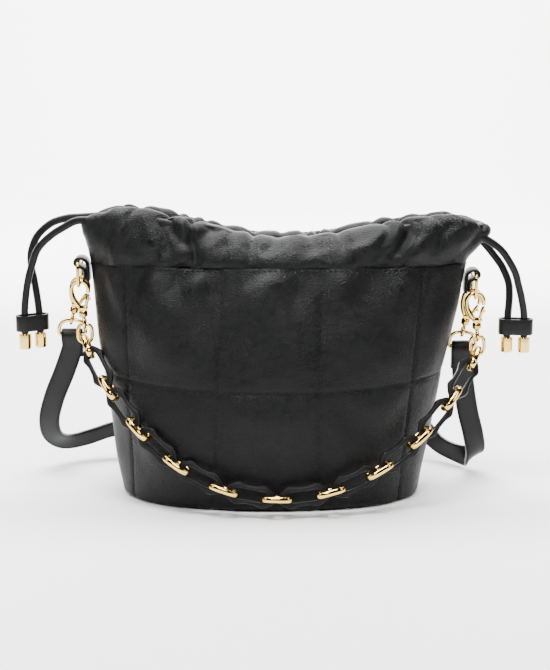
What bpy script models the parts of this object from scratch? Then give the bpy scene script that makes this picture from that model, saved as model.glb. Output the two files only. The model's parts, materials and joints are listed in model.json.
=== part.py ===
"""Bucket bag with a drawstring mouth, a chain handle and a crossbody strap. Metres, +Z up.

The origin is the centre of the base's underside. +X runs along the bag's width and -Y is its front.
"""

from math import cos, cosh, pi, radians, sin

import bmesh
import bpy
import numpy as np
from mathutils import Matrix, Vector

MM = 0.001
GAP = 0.3 * MM  # between pieces that touch

# Body: left edge, right edge and half depth at each height, outside the leather.
BASE_LEFT, BASE_RIGHT, BASE_DEPTH = -107 * MM, 101 * MM, 60 * MM
SEAM_LEFT, SEAM_RIGHT, SEAM_DEPTH = -128 * MM, 133 * MM, 36 * MM
SEAM_HEIGHT = 163 * MM  # where the rim casing is sewn on
BELLY = 5 * MM  # how far the sides and front swell out halfway up
BASE_ROUND = 3 * MM  # rounding of the bottom edge
BODY_SQUARENESS = 2.4
WALL = 2.4 * MM
LINING = 0.8 * MM
BASE_THICKNESS = 2.4 * MM
BOARD_THICKNESS = 1.6 * MM

# Rim casing, the channel that the drawcords run in.
RIM_LEFT, RIM_RIGHT, RIM_DEPTH = -134 * MM, 148 * MM, 24 * MM
RIM_SQUARENESS = 4.0
RIM_DIP = SEAM_HEIGHT + 18.5 * MM
LEFT_EAR, RIGHT_EAR = SEAM_HEIGHT + 38 * MM, SEAM_HEIGHT + 33 * MM
EAR_SHARE = 0.85  # share of the half width where each ear is highest
EAR_DROOP = 45 * MM  # fall beyond the ear, per half width
RIM_SPAN = 0.93  # share of the half width where the cords come out
CASING_SPAN = RIM_SPAN - 0.025  # and where the casing ends, just before
CORD_DIAMETER = 4.8 * MM
CASING_SKIN = 1.9 * MM
CASING_THICKNESS = CORD_DIAMETER + 2 * CASING_SKIN + 3.2 * MM

# Drawcords, their leather keepers and their metal end caps.
CORD_PITCH = CORD_DIAMETER + 1.1 * MM  # the two cords lie one above the other in the casing
CORD_TOP = CASING_SKIN + CORD_DIAMETER / 2 + 0.6 * MM  # upper cord's centre below the rim's top
CORD_STEP = 13 * MM
# Where a cord turns back at the far end: share of the casing's half gap, and mm past its last point.
CORD_RETURN = ((0.75, 4.4), (0, 6.6), (-0.75, 4.4))
KEEPER_WALL = 2.0 * MM
KEEPER_LENGTH, KEEPER_HEIGHT = 24 * MM, 11 * MM
KEEPER_DEPTH = CORD_DIAMETER + 2 * KEEPER_WALL + 1.8 * MM
CAP_DIAMETER, CAP_LENGTH = 8.4 * MM, 10.8 * MM

# Side tabs and side rings.
RING_WIRE = 2.6 * MM
SIDE_RING_WIDTH, SIDE_RING_HEIGHT = 26 * MM, 18.5 * MM
HOOK_WIRE = 2.8 * MM
RING_OUTSET = RING_WIRE + HOOK_WIRE + 2.2 * MM  # side ring's plane from the body's side
# Heights of the lower bars.
LEFT_BAR, RIGHT_BAR = SEAM_HEIGHT - 16.5 * MM, SEAM_HEIGHT - 25 * MM
TAB_WIDTH, TAB_THICKNESS = 15 * MM, 2.0 * MM
TAB_TAIL = 13 * MM  # tail's reach below the ring's upper bar

# Swivel clasps.
CLASP_SPACING = 12 * MM  # the two clasps on one ring
HOOK_INNER_RADIUS = 4.4 * MM
HOOK_DROP = 17.6 * MM  # ring bar's centre down to the barrel
BARREL_DIAMETER, BARREL_LENGTH = 6.4 * MM, 4.5 * MM
GATE_WIRE = 2.2 * MM
EYE_INNER_RADIUS, EYE_WIRE, EYE_DEPTH = 2.6 * MM, 1.8 * MM, 2.2 * MM
POST_WIDTH, POST_BORE = 2.2 * MM, 3.6 * MM

# Chain handle.
END_RING_WIDTH, END_RING_HEIGHT, END_RING_WIRE = 12 * MM, 15 * MM, 2.2 * MM
GOLD_LINKS = 11
GOLD_LENGTH, GOLD_HEIGHT = 20.8 * MM, 12.4 * MM
GOLD_BAND_WIDTH, GOLD_BAND_THICKNESS = 4.4 * MM, 2.2 * MM
LEATHER_WIDTH, LEATHER_THICKNESS = 17 * MM, 3.0 * MM
LEATHER_BAR = 5 * MM  # leather at each end of a link
LEATHER_RAIL = 4.4 * MM  # leather along each side of a link
LINK_PLAY = 1.9 * MM
CHAIN_LOW_X, CHAIN_LOW_Z = 3 * MM, 13 * MM
CHAIN_SPREAD = 80 * MM  # catenary's span constant
LINK_LEAN = 0.85  # how far the links on the bag's curved sides turn outwards
CHAIN_HUG = 0.74  # how soon the chain comes forward from the bag's sides; 1 is slowly
CHAIN_CLEARANCE = LEATHER_THICKNESS / 2 + 10.5 * MM  # chain's centre line in front of the body at its lowest point
LINK_TILT = 0.25  # how far the links' outer faces turn upwards

# Crossbody strap.
STRAP_WIDTH, STRAP_THICKNESS = 15 * MM, 2.4 * MM
STRAP_STEP = 9 * MM
D_RING_WIDTH, D_RING_HEIGHT, D_RING_WIRE = STRAP_WIDTH + 6 * MM, 13 * MM, 2.2 * MM

COLOURS = {
    "leather": ((0.012, 0.013, 0.016), 0.5, 0.0),
    "board": ((0.10, 0.09, 0.08), 0.8, 0.0),
    "lining": ((0.03, 0.03, 0.035), 0.85, 0.0),
    "gold": ((0.78, 0.60, 0.30), 0.2, 1.0),
}


def clear_scene():
    for found in list(bpy.data.objects):
        bpy.data.objects.remove(found, do_unlink=True)


def material(name):
    found = bpy.data.materials.get(name)
    if found:
        return found
    colour, roughness, metallic = COLOURS[name]
    made = bpy.data.materials.new(name)
    made.use_nodes = True
    shader = made.node_tree.nodes["Principled BSDF"]
    shader.inputs["Base Color"].default_value = (*colour, 1)
    shader.inputs["Roughness"].default_value = roughness
    shader.inputs["Metallic"].default_value = metallic
    return made


def add_piece(name, mesh, finish, place=None):
    piece = bpy.data.objects.new(name, mesh)
    bpy.context.scene.collection.objects.link(piece)
    if not mesh.materials:
        mesh.materials.append(material(finish))
    if place is not None:
        piece.matrix_world = place
    return piece


def make_mesh(name, points, faces, smooth_angle=40):
    mesh = bpy.data.meshes.new(name)
    mesh.from_pydata([tuple(p) for p in points], [], faces)
    work = bmesh.new()
    work.from_mesh(mesh)
    if work.calc_volume(signed=True) < 0:
        bmesh.ops.reverse_faces(work, faces=work.faces)
    work.to_mesh(mesh)
    work.free()
    mesh.shade_smooth()
    mesh.set_sharp_from_angle(angle=radians(smooth_angle))
    return mesh


def frame_at(origin, x_axis, y_axis, z_axis):
    """Placement whose local axes are the three given directions."""
    turn = Matrix((x_axis, y_axis, z_axis)).transposed()
    return Matrix.Translation(origin) @ turn.to_4x4()


def add_pivot(name, origin, children):
    """An empty on a joint's axis that carries the pieces that move about it."""
    pivot = bpy.data.objects.new(name, None)
    pivot.location = origin
    bpy.context.scene.collection.objects.link(pivot)
    for child in children:
        child.parent = pivot
        child.matrix_parent_inverse = Matrix.Translation(-Vector(origin))
    return pivot


def fused(name, base, addition):
    """Mesh of two closed meshes joined."""
    body = bpy.data.objects.new(name, base)
    tool = bpy.data.objects.new(name + "_tool", addition)
    for item in (body, tool):
        bpy.context.scene.collection.objects.link(item)
    modifier = body.modifiers.new("join", "BOOLEAN")
    modifier.operation = "UNION"
    modifier.object = tool
    graph = bpy.context.evaluated_depsgraph_get()
    mesh = bpy.data.meshes.new_from_object(body.evaluated_get(graph))
    for item in (body, tool):
        bpy.data.objects.remove(item, do_unlink=True)
    return mesh


# Shapes ---------------------------------------------------------------------------------------------------


def grid_solid(rings, closed_rows):
    """Points and faces of a tube of equal closed rings; closed_rows joins the last ring to the first."""
    count, size = len(rings), len(rings[0])
    points = [p for ring in rings for p in ring]
    faces = []
    for row in range(count if closed_rows else count - 1):
        here, there = row * size, (row + 1) % count * size
        for i in range(size):
            j = (i + 1) % size
            faces.append((here + i, here + j, there + j, there + i))
    if not closed_rows:
        faces.append(tuple(reversed(range(size))))
        faces.append(tuple((count - 1) * size + i for i in range(size)))
    return points, faces


def tube_mesh(name, path, section, closed=False, side=None):
    """A section carried along a path. side is the section's first axis at each path point."""
    count = len(path)
    rings = []
    axis_one = None
    for i, centre in enumerate(path):
        before = path[i - 1] if closed or i > 0 else path[i]
        after = path[(i + 1) % count] if closed or i < count - 1 else path[i]
        along = (Vector(after) - Vector(before)).normalized()
        wanted = Vector(side[i]) if side is not None else axis_one
        if wanted is None:
            wanted = along.orthogonal()
        axis_one = (wanted - along * wanted.dot(along)).normalized()
        axis_two = along.cross(axis_one)
        rings.append([Vector(centre) + axis_one * a + axis_two * b for a, b in section])
    points, faces = grid_solid(rings, closed)
    return make_mesh(name, points, faces)


def round_section(diameter, sides=6):
    half = diameter / 2
    return [(half * cos(2 * pi * i / sides), half * sin(2 * pi * i / sides)) for i in range(sides)]


def box_section(width, thickness):
    a, b = width / 2, thickness / 2
    return [(-a, -b), (a, -b), (a, b), (-a, b)]


def lathe_mesh(name, outline, sides=12):
    """Outline of (radius, height) points turned round Z, from the bottom centre to the top centre."""
    rings = []
    for i in range(sides):
        turn = 2 * pi * i / sides
        rings.append([(r * cos(turn), r * sin(turn), z) for r, z in outline[1:-1]])
    size = len(rings[0])
    points = [p for ring in rings for p in ring]
    points += [(0, 0, outline[0][1]), (0, 0, outline[-1][1])]
    faces = []
    for i in range(sides):
        here, there = i * size, (i + 1) % sides * size
        for k in range(size - 1):
            faces.append((here + k, there + k, there + k + 1, here + k + 1))
        faces.append((there, here, sides * size))
        faces.append((here + size - 1, there + size - 1, sides * size + 1))
    return make_mesh(name, points, faces)


def ring_plate_mesh(name, outer, inner, thickness):
    """A flat plate with one hole, in the local XY plane, from outlines of equal length."""
    half = thickness / 2
    rings = []
    for (ox, oy), (ix, iy) in zip(outer, inner):
        rings.append([(ox, oy, -half), (ox, oy, half), (ix, iy, half), (ix, iy, -half)])
    points, faces = grid_solid(rings, True)
    return make_mesh(name, points, faces)


def power(value, exponent):
    return np.sign(value) * abs(value) ** exponent


def oval(half_x, half_y, squareness, count):
    """Points of a rounded oval; squareness 2 is an ellipse."""
    angles = [2 * pi * (i + 0.5) / count for i in range(count)]
    bend = 2 / squareness
    return [(half_x * power(cos(t), bend), half_y * power(sin(t), bend)) for t in angles]


def smooth_path(route, step):
    """Points about a step apart on a smooth curve through a route's own points."""
    ends = [2 * route[0] - route[1], *route, 2 * route[-1] - route[-2]]
    dense = []
    for a, b, c, d in zip(ends, ends[1:], ends[2:], ends[3:]):
        for t in np.linspace(0, 1, 24, endpoint=False):
            bend = 2 * b + (c - a) * t + (2 * a - 5 * b + 4 * c - d) * t**2
            dense.append((bend + (3 * b - a - 3 * c + d) * t**3) / 2)
    dense.append(route[-1])
    dense = np.array(dense)
    along = np.r_[0, np.cumsum(np.linalg.norm(np.diff(dense, axis=0), axis=1))]
    places = np.linspace(0, along[-1], max(2, round(along[-1] / step)) + 1)
    return np.array([np.interp(places, along, dense[:, k]) for k in range(3)]).T


# Body -----------------------------------------------------------------------------------------------------


def body_size(height):
    """Centre, half width and half depth of the body at a height."""
    share = min(max(height / SEAM_HEIGHT, 0), 1)
    ease = share**1.15
    swell = BELLY * sin(pi * share)
    left = BASE_LEFT + (SEAM_LEFT - BASE_LEFT) * ease - 0.4 * swell
    right = BASE_RIGHT + (SEAM_RIGHT - BASE_RIGHT) * ease
    depth = BASE_DEPTH + (SEAM_DEPTH - BASE_DEPTH) * share**2.2 + 0.8 * swell
    tuck = BASE_ROUND * max(0, 1 - height / BASE_ROUND) ** 2
    return (left + right) / 2, (right - left) / 2 - tuck, depth - tuck


def body_outline(height, inset, turn):
    """Point on the body's outline at an angle, moved inwards by inset."""
    centre, half_width, half_depth = body_size(height)
    bend = 2 / BODY_SQUARENESS
    c, s = cos(turn), sin(turn)
    x, y = half_width * power(c, bend), half_depth * power(s, bend)
    rise = BODY_SQUARENESS - 1
    normal = Vector((power(x / half_width, rise) / half_width, power(y / half_depth, rise) / half_depth))
    normal.normalize()
    return Vector((centre + x - normal.x * inset, y - normal.y * inset, height))


def front_of_body(x, height):
    """Y of the body's front at a place, or 0 beside the body."""
    centre, half_width, half_depth = body_size(height)
    share = min(abs(x - centre) / half_width, 1)
    return -half_depth * (1 - share**BODY_SQUARENESS) ** (1 / BODY_SQUARENESS)


def half_shell_mesh(name, front, heights, columns):
    """One panel of the body, from side seam to side seam."""
    sign = -1 if front else 1
    rings = []
    for column in range(columns + 1):
        turn = sign * pi * column / columns
        ring = []
        for inset, order in ((0, heights), (WALL, heights[::-1])):
            for height in order:
                point = body_outline(height, inset, turn)
                point.y = sign * max(abs(point.y), GAP / 2)
                ring.append(point)
        rings.append(ring)
    points, faces = grid_solid(rings, False)
    return make_mesh(name, points, faces)


def slab_mesh(name, low, high, inset, columns):
    """A flat plate that fills the base's outline, less an inset."""
    outline = [body_outline(0, inset, 2 * pi * i / columns) for i in range(columns)]
    rings = [[Vector((p.x, p.y, z)) for p in outline] for z in (low, high)]
    points, faces = grid_solid(rings, False)
    return make_mesh(name, points, faces)


def lining_mesh(name, floor, top, columns, rows):
    """A thin open cup just inside the panels."""
    outer_inset = WALL + 2 * GAP
    heights = [floor + (top - floor) * i / rows for i in range(rows + 1)]

    def level(height, inset, at=None):
        turns = [2 * pi * i / columns for i in range(columns)]
        ring = [body_outline(height, inset, turn) for turn in turns]
        for point in ring:
            point.z = height if at is None else at
        return ring

    rings = [level(height, outer_inset) for height in heights]
    rings += [level(height, outer_inset + LINING) for height in heights[:0:-1]]
    rings.append(level(floor, outer_inset + LINING, floor + LINING))
    points, faces = grid_solid(rings, False)
    return make_mesh(name, points, faces)


def build_body():
    heights = [0, 1.5 * MM, 3 * MM] + [SEAM_HEIGHT * i / 7 for i in range(1, 7)]
    heights.append(SEAM_HEIGHT)
    add_piece("front_panel", half_shell_mesh("front_panel", True, heights, 22), "leather")
    add_piece("back_panel", half_shell_mesh("back_panel", False, heights, 22), "leather")
    inset = WALL + GAP
    add_piece("base_panel", slab_mesh("base_panel", 0, BASE_THICKNESS, inset, 40), "leather")
    low = BASE_THICKNESS + GAP
    board = slab_mesh("base_board", low, low + BOARD_THICKNESS, inset + LINING, 40)
    add_piece("base_board", board, "board")
    floor = low + BOARD_THICKNESS + GAP
    add_piece("lining", lining_mesh("lining", floor, SEAM_HEIGHT - GAP, 44, 7), "lining")


# Rim casing -----------------------------------------------------------------------------------------------


def rim_top(share):
    """Height of the rim, which dips in the middle; share runs from -1 at the left to 1 at the right."""
    ear = LEFT_EAR if share < 0 else RIGHT_EAR
    ease = 1 - cos(pi * min(abs(share) / EAR_SHARE, 1))
    droop = EAR_DROOP * max(0, abs(share) - EAR_SHARE)
    return RIM_DIP + (ear - RIM_DIP) * ease / 2 - droop


def rim_point(share, height, inset, front):
    """Point of the casing, inset from its outer face."""
    rise = (height - SEAM_HEIGHT) / (rim_top(share) - SEAM_HEIGHT)
    seam_centre, seam_half, seam_depth = body_size(SEAM_HEIGHT)
    rim_centre, rim_half = (RIM_LEFT + RIM_RIGHT) / 2, (RIM_RIGHT - RIM_LEFT) / 2
    seam_y = seam_depth * (1 - abs(share) ** BODY_SQUARENESS) ** (1 / BODY_SQUARENESS)
    rim_y = RIM_DEPTH * (1 - abs(share) ** RIM_SQUARENESS) ** (1 / RIM_SQUARENESS)
    x = (1 - rise) * (seam_centre + seam_half * share) + rise * (rim_centre + rim_half * share)
    y = (1 - rise) * seam_y + rise * rim_y - inset
    return Vector((x, -y if front else y, height))


def casing_mesh(name, front, columns):
    """An upside-down U: outer skin, folded top and inner skin, open below and at its ends."""
    thick, skin = CASING_THICKNESS, CASING_SKIN
    rings = []
    for column in range(columns + 1):
        share = CASING_SPAN * (2 * column / columns - 1)
        foot, top = SEAM_HEIGHT + GAP, rim_top(share)
        roof, middle = top - skin, (foot + top) / 2
        outline = [(0, foot), (0, middle), (0, top - 3 * MM), (2.5 * MM, top)]
        outline += [(thick - 2.5 * MM, top), (thick, top - 3 * MM), (thick, foot)]
        outline += [(thick - skin, foot), (thick - skin, roof - 1 * MM), (thick - skin - 1 * MM, roof)]
        outline += [(skin + 1 * MM, roof), (skin, roof - 1 * MM), (skin, foot)]
        rings.append([rim_point(share, height, inset, front) for inset, height in outline])
    points, faces = grid_solid(rings, False)
    return make_mesh(name, points, faces)


def build_casing():
    for side in ("front", "back"):
        name = "rim_casing_" + side
        add_piece(name, casing_mesh(name, side == "front", 30), "leather")


# Side hardware --------------------------------------------------------------------------------------------


def side_of_body(side, height):
    centre, half_width, _ = body_size(height)
    return centre + side * half_width


def bar_point(side):
    """Centre of a side ring's lower bar, which the clasps hang from."""
    height = LEFT_BAR if side < 0 else RIGHT_BAR
    top = height + SIDE_RING_HEIGHT - RING_WIRE
    return Vector((side_of_body(side, top) + side * RING_OUTSET, 0, height))


def side_ring_mesh(name):
    """A rectangular ring with round corners in the local YZ plane; its lower bar's centre is the origin."""
    half_y = (SIDE_RING_WIDTH - RING_WIRE) / 2
    half_z = (SIDE_RING_HEIGHT - RING_WIRE) / 2
    path = [(0, y, z + half_z) for y, z in oval(half_y, half_z, 7, 20)]
    return tube_mesh(name, path, round_section(RING_WIRE), closed=True)


def tab_mesh(name, side, reach):
    """A leather loop round the ring's upper bar with a tail that lies on the body's side.

    Local X points outwards and the upper bar's centre is the origin.
    """
    inner, outer = RING_WIRE / 2 + GAP, RING_WIRE / 2 + GAP + TAB_THICKNESS
    tail_low = -TAB_TAIL
    back = -reach
    tail_front = back + TAB_THICKNESS
    hole = [(inner * cos(t), inner * sin(t)) for t in np.linspace(0, 2 * pi, 17)[:-1]]
    shell = []
    for t in np.linspace(0, 2 * pi, 17)[:-1]:
        x, z = outer * cos(t), outer * sin(t)
        if pi * 0.95 < t < pi * 1.3:
            x = back
        shell.append((x, z))
    shell[9] = (back, tail_low)
    shell[10] = (tail_front, tail_low)
    shell[11] = (tail_front, -outer * 1.1)
    half = TAB_WIDTH / 2
    rings = []
    for (ox, oz), (ix, iz) in zip(shell, hole):
        ends = ((ox, oz, -half), (ox, oz, half), (ix, iz, half), (ix, iz, -half))
        rings.append([(side * x, y, z) for x, z, y in ends])
    points, faces = grid_solid(rings, True)
    return make_mesh(name, points, faces)


def build_side(side, word):
    bar = bar_point(side)
    ring = side_ring_mesh("side_ring")
    add_piece("side_ring_" + word, ring, "gold", Matrix.Translation(bar))
    upper = bar + Vector((0, 0, SIDE_RING_HEIGHT - RING_WIRE))
    reach = RING_OUTSET - GAP
    name = "side_tab_" + word
    add_piece(name, tab_mesh(name, side, reach), "leather", Matrix.Translation(upper))


# Swivel clasps --------------------------------------------------------------------------------------------


def hook_centre():
    """Height of the hook's arc above the ring bar that it hangs on, in the clasp's own frame."""
    return RING_WIRE / 2 + GAP - HOOK_INNER_RADIUS


def clasp_body_mesh():
    """Hook and swivel barrel. The ring bar is the origin and -Z is the swivel axis."""
    radius = HOOK_INNER_RADIUS + HOOK_WIRE / 2
    top = hook_centre()
    path = [(0.6 * MM, 0, -HOOK_DROP - 1.2 * MM), (2.0 * MM, 0, -HOOK_DROP + 2.4 * MM)]
    path.append((4.6 * MM, 0, (top - HOOK_DROP) / 2 - 0.6 * MM))
    path += [(radius * cos(t), 0, top + radius * sin(t)) for t in np.linspace(-0.12, pi, 11)]
    path.append((-radius, 0, top - 3.2 * MM))
    hook = tube_mesh("hook", path, round_section(HOOK_WIRE), side=[(0, 1, 0)] * len(path))
    barrel = BARREL_DIAMETER / 2
    low = -HOOK_DROP - BARREL_LENGTH
    outline = [(0, -HOOK_DROP - 1.4 * MM), (POST_BORE / 2, -HOOK_DROP - 1.4 * MM), (POST_BORE / 2, low)]
    outline += [(barrel - 0.5 * MM, low), (barrel, low + 0.5 * MM), (barrel, -HOOK_DROP - 0.9 * MM)]
    outline += [(barrel - 0.9 * MM, -HOOK_DROP), (0, -HOOK_DROP)]
    return fused("clasp_body", hook, lathe_mesh("barrel", outline))


def gate_pivot():
    return Vector((-2.2 * MM, 0, -HOOK_DROP + GATE_WIRE * 0.75))


def gate_mesh():
    """A straight sprung lever from its pivot, the local origin, up to the hook's nose."""
    nose = Vector((-HOOK_INNER_RADIUS - 1.0 * MM, 0, hook_centre() - 3.2 * MM - GATE_WIRE * 0.75))
    reach = nose - gate_pivot()
    path = [reach * t for t in (0, 0.35, 0.7, 1)]
    return tube_mesh("gate", path, round_section(GATE_WIRE), side=[(0, 1, 0)] * 4)


def eye_drop():
    """Eye's centre below the ring bar."""
    return HOOK_DROP + BARREL_LENGTH + GAP + EYE_INNER_RADIUS + EYE_WIRE


def eye_mesh():
    """A flat eye with a square post that turns in the barrel. Local Y is the swivel axis, up."""
    outer_radius = EYE_INNER_RADIUS + EYE_WIRE
    count = 20
    post_top = outer_radius + BARREL_LENGTH - 1.4 * MM - GAP
    outer, inner = [], []
    for i in range(count):
        turn = 2 * pi * (i + 0.5) / count
        x, y = outer_radius * cos(turn), outer_radius * sin(turn)
        if abs(turn - pi / 2) < 2 * pi / count:
            x, y = np.sign(x) * POST_WIDTH / 2, post_top
        elif abs(turn - pi / 2) < 4 * pi / count:
            x, y = np.sign(x) * POST_WIDTH / 2, outer_radius
        outer.append((x, y))
        inner.append((EYE_INNER_RADIUS * cos(turn), EYE_INNER_RADIUS * sin(turn)))
    return ring_plate_mesh("eye", outer, inner, EYE_DEPTH)


# Each clasp: side, place along the ring bar (front is -1), and lean outwards in degrees.
CLASPS = {
    "chain_clasp_left": (-1, -1, -7),
    "strap_clasp_left": (-1, 1, 15),
    "chain_clasp_right": (1, -1, 5),
    "strap_clasp_right": (1, 1, -14),
}


def clasp_axes(name):
    """Ring bar point and the clasp's outward, upward directions."""
    side, place, lean = CLASPS[name]
    bar = bar_point(side) + Vector((0, place * CLASP_SPACING / 2, 0))
    tilt = radians(lean)
    up = Vector((-side * sin(tilt), 0, cos(tilt)))
    out = Vector((side * cos(tilt), 0, sin(tilt)))
    return bar, out, up


def eye_point(name):
    """Where a hanging ring's wire passes through a clasp's eye."""
    bar, _, up = clasp_axes(name)
    seat = EYE_INNER_RADIUS - END_RING_WIRE / 2 - 2 * GAP
    return bar - up * (eye_drop() + seat)


def build_clasps():
    body, gate, eye = clasp_body_mesh(), gate_mesh(), eye_mesh()
    for name, (side, _, _) in CLASPS.items():
        bar, out, up = clasp_axes(name)
        hook_side = -out * side
        place = frame_at(bar, hook_side, up.cross(hook_side), up)
        add_piece(name + "_body", body, "gold", place)
        add_piece(name + "_gate", gate, "gold", place @ Matrix.Translation(gate_pivot()))
        eye_place = frame_at(bar - up * eye_drop(), Vector((0, 1, 0)), up, Vector((0, 1, 0)).cross(up))
        add_piece(name + "_eye", eye, "gold", eye_place)


# Chain handle ---------------------------------------------------------------------------------------------


def end_ring_centre(side):
    name = "chain_clasp_left" if side < 0 else "chain_clasp_right"
    return eye_point(name) - Vector((0, 0, (END_RING_HEIGHT - END_RING_WIRE) / 2))


def chain_line():
    """The handle's centre line, from inside one end ring to inside the other, and its length."""
    drop = Vector((0, 0, END_RING_HEIGHT / 2 - END_RING_WIRE - 5 * GAP))
    left, right = end_ring_centre(-1) - drop, end_ring_centre(1) - drop
    places = np.linspace(left.x, right.x, 400)
    heights = []
    for x in places:
        end = left if x < CHAIN_LOW_X else right
        rise = cosh((x - CHAIN_LOW_X) / CHAIN_SPREAD) - 1
        full = cosh((end.x - CHAIN_LOW_X) / CHAIN_SPREAD) - 1
        heights.append(CHAIN_LOW_Z + (end.z - CHAIN_LOW_Z) * rise / full)
    flat = np.c_[places, heights]
    share = np.r_[0, np.cumsum(np.linalg.norm(np.diff(flat, axis=0), axis=1))]
    share /= share[-1]
    front = front_of_body(CHAIN_LOW_X, CHAIN_LOW_Z) - CHAIN_CLEARANCE
    depth = left.y + (front - left.y) * np.sin(pi * share) ** CHAIN_HUG
    line = np.c_[places, depth, heights]
    along = np.r_[0, np.cumsum(np.linalg.norm(np.diff(line, axis=0), axis=1))]
    return line, along


def chain_spots():
    """Centres of the gold links, equally spaced, and the pitch between them."""
    line, along = chain_line()
    inner = GOLD_LENGTH / 2 - GOLD_BAND_THICKNESS
    places = np.linspace(inner, along[-1] - inner, GOLD_LINKS)
    spots = np.array([np.interp(places, along, line[:, k]) for k in range(3)]).T
    return [Vector(spot) for spot in spots], places[1] - places[0]


def link_frame(centre, along):
    """Local X along the chain, Z away from the bag, Y across."""
    _, half_width, _ = body_size(SEAM_HEIGHT)
    share = centre.x / half_width
    away = Vector((LINK_LEAN * share * (1 - min(share**4, 1)), -1, LINK_TILT))
    along = along.normalized()
    away = (away - along * away.dot(along)).normalized()
    return frame_at(centre, along, away.cross(along), away)


def gold_link_mesh():
    """An oval band standing in the local XZ plane."""
    half_x = (GOLD_LENGTH - GOLD_BAND_THICKNESS) / 2
    half_z = (GOLD_HEIGHT - GOLD_BAND_THICKNESS) / 2
    path = [(x, 0, z) for x, z in oval(half_x, half_z, 5, 18)]
    a, b = GOLD_BAND_WIDTH / 2, GOLD_BAND_THICKNESS / 2
    section = [(a, 0), (0.7 * a, b), (-0.7 * a, b), (-a, 0), (-0.7 * a, -b), (0.7 * a, -b)]
    return tube_mesh("gold_link", path, section, closed=True, side=[(0, 1, 0)] * len(path))


def leather_link_mesh(pitch):
    """A flat leather plate with flared corners, drawn-in sides and a long window."""
    window = pitch / 2 - (GOLD_LENGTH / 2 - GOLD_BAND_THICKNESS) + LINK_PLAY
    half_x, half_y = window + LEATHER_BAR, LEATHER_WIDTH / 2
    outer = []
    for x, y in oval(half_x, half_y, 3.2, 24):
        waist = 0.18 * max(0, cos(pi * x / (1.25 * half_x)))
        outer.append((x, y * (1 - waist)))
    inner = oval(window, half_y - LEATHER_RAIL, 4.5, 24)
    return ring_plate_mesh("leather_link", outer, inner, LEATHER_THICKNESS)


def build_chain():
    moving = []
    spots, pitch = chain_spots()
    line, _ = chain_line()
    start, finish = Vector(line[0]), Vector(line[-1])
    gold, leather = gold_link_mesh(), leather_link_mesh(pitch)
    half_x = (END_RING_WIDTH - END_RING_WIRE) / 2
    half_z = (END_RING_HEIGHT - END_RING_WIRE) / 2
    path = [(x, 0, z) for x, z in oval(half_x, half_z, 3, 18)]
    ring = tube_mesh("end_ring", path, round_section(END_RING_WIRE), closed=True, side=[(0, 1, 0)] * 18)
    for side, word in ((-1, "left"), (1, "right")):
        place = Matrix.Translation(end_ring_centre(side))
        moving.append(add_piece("chain_end_ring_" + word, ring, "gold", place))
    for i, spot in enumerate(spots):
        before = spots[max(i - 1, 0)]
        after = spots[min(i + 1, len(spots) - 1)]
        along = after - before
        if i == 0:
            along = spot - start
        if i == len(spots) - 1:
            along = finish - spot
        moving.append(add_piece(f"gold_link_{i + 1:02d}", gold, "gold", link_frame(spot, along)))
    for i, (one, two) in enumerate(zip(spots, spots[1:])):
        place = link_frame((one + two) / 2, two - one)
        moving.append(add_piece(f"leather_link_{i + 1:02d}", leather, "leather", place))
    swing = (eye_point("chain_clasp_left") + eye_point("chain_clasp_right")) / 2
    add_pivot("chain_swing_pivot", swing, moving)


# Crossbody strap ------------------------------------------------------------------------------------------


def d_ring_bar(side):
    """Centre of a D-ring's straight bar."""
    name = "strap_clasp_left" if side < 0 else "strap_clasp_right"
    return eye_point(name) - Vector((0, 0, D_RING_HEIGHT - D_RING_WIRE))


def d_ring_mesh():
    """Straight bar below and an arch above, in the local XZ plane; the bar's centre is the origin."""
    half_x, height = (D_RING_WIDTH - D_RING_WIRE) / 2, D_RING_HEIGHT - D_RING_WIRE
    path = [(x, 0, 0) for x in np.linspace(-half_x + 1 * MM, half_x - 1 * MM, 5)]
    for turn in np.linspace(0.12, pi - 0.12, 13):
        path.append((half_x * power(cos(turn), 0.7), 0, height * power(sin(turn), 0.7)))
    return tube_mesh("d_ring", path, round_section(D_RING_WIRE), closed=True, side=[(0, 1, 0)] * len(path))


# The strap's route past its fold round each D-ring: place in mm from that ring's bar, then width direction.
LEFT_ROUTE = [
    ((-1, 0, -12), (1, 0, 0)),
    ((-7, 3, -28), (0.95, 0, -0.25)),
    ((-15, 8, -47), (0.9, 0, -0.3)),
    ((-20.5, 17, -66), (0.95, 0, 0)),
    ((-20, 31, -82), (0.9, -0.2, 0.4)),
    ((-12, 47, -91), (0.4, -0.4, 0.8)),
    ((2, 58, -91), (0, -0.5, 0.85)),
    ((19, 65, -87), (0, -0.5, 0.85)),
    ((36, 69, -85), (0, -0.4, 0.9)),
]
RIGHT_ROUTE = [
    ((0.5, 0, -12), (1, 0, 0)),
    ((2, 3, -26), (0.95, 0, 0.15)),
    ((6, 7, -48), (0.95, 0, 0.3)),
    ((11, 12, -67), (0.95, 0, 0.3)),
    ((14, 21, -82.5), (0.9, 0.1, 0.4)),
    ((11.5, 33, -90), (0.6, -0.3, 0.7)),
    ((2, 45, -90.5), (0.3, -0.5, 0.8)),
    ((-9, 56, -87), (0.3, -0.4, 0.85)),
    ((-18, 64, -79), (0.5, -0.2, 0.8)),
    ((-23, 70, -74), (0.4, 0, 0.9)),
]
# The stowed length behind the bag, in mm from the origin: three runs on edge, folded back on themselves.
STOWED_WIDTH = 15 * MM  # the width that the route below stands on the ground with
STOWED_ROUTE = [
    (-78, 76, 13), (-55, 77, 8.6), (0, 77, 8.2), (60, 77, 8.2), (84, 79, 8.2), (91, 86, 8.2), (84, 93, 8.2),
    (60, 95, 8.2), (0, 95, 8.2), (-60, 95, 8.2), (-84, 97, 8.2), (-91, 104, 8.2), (-84, 111, 8.2),
    (-60, 113, 8.2), (0, 113, 8.2), (50, 112, 8.2), (80, 109, 10), (99, 101, 16), (109, 89, 25),
]


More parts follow.
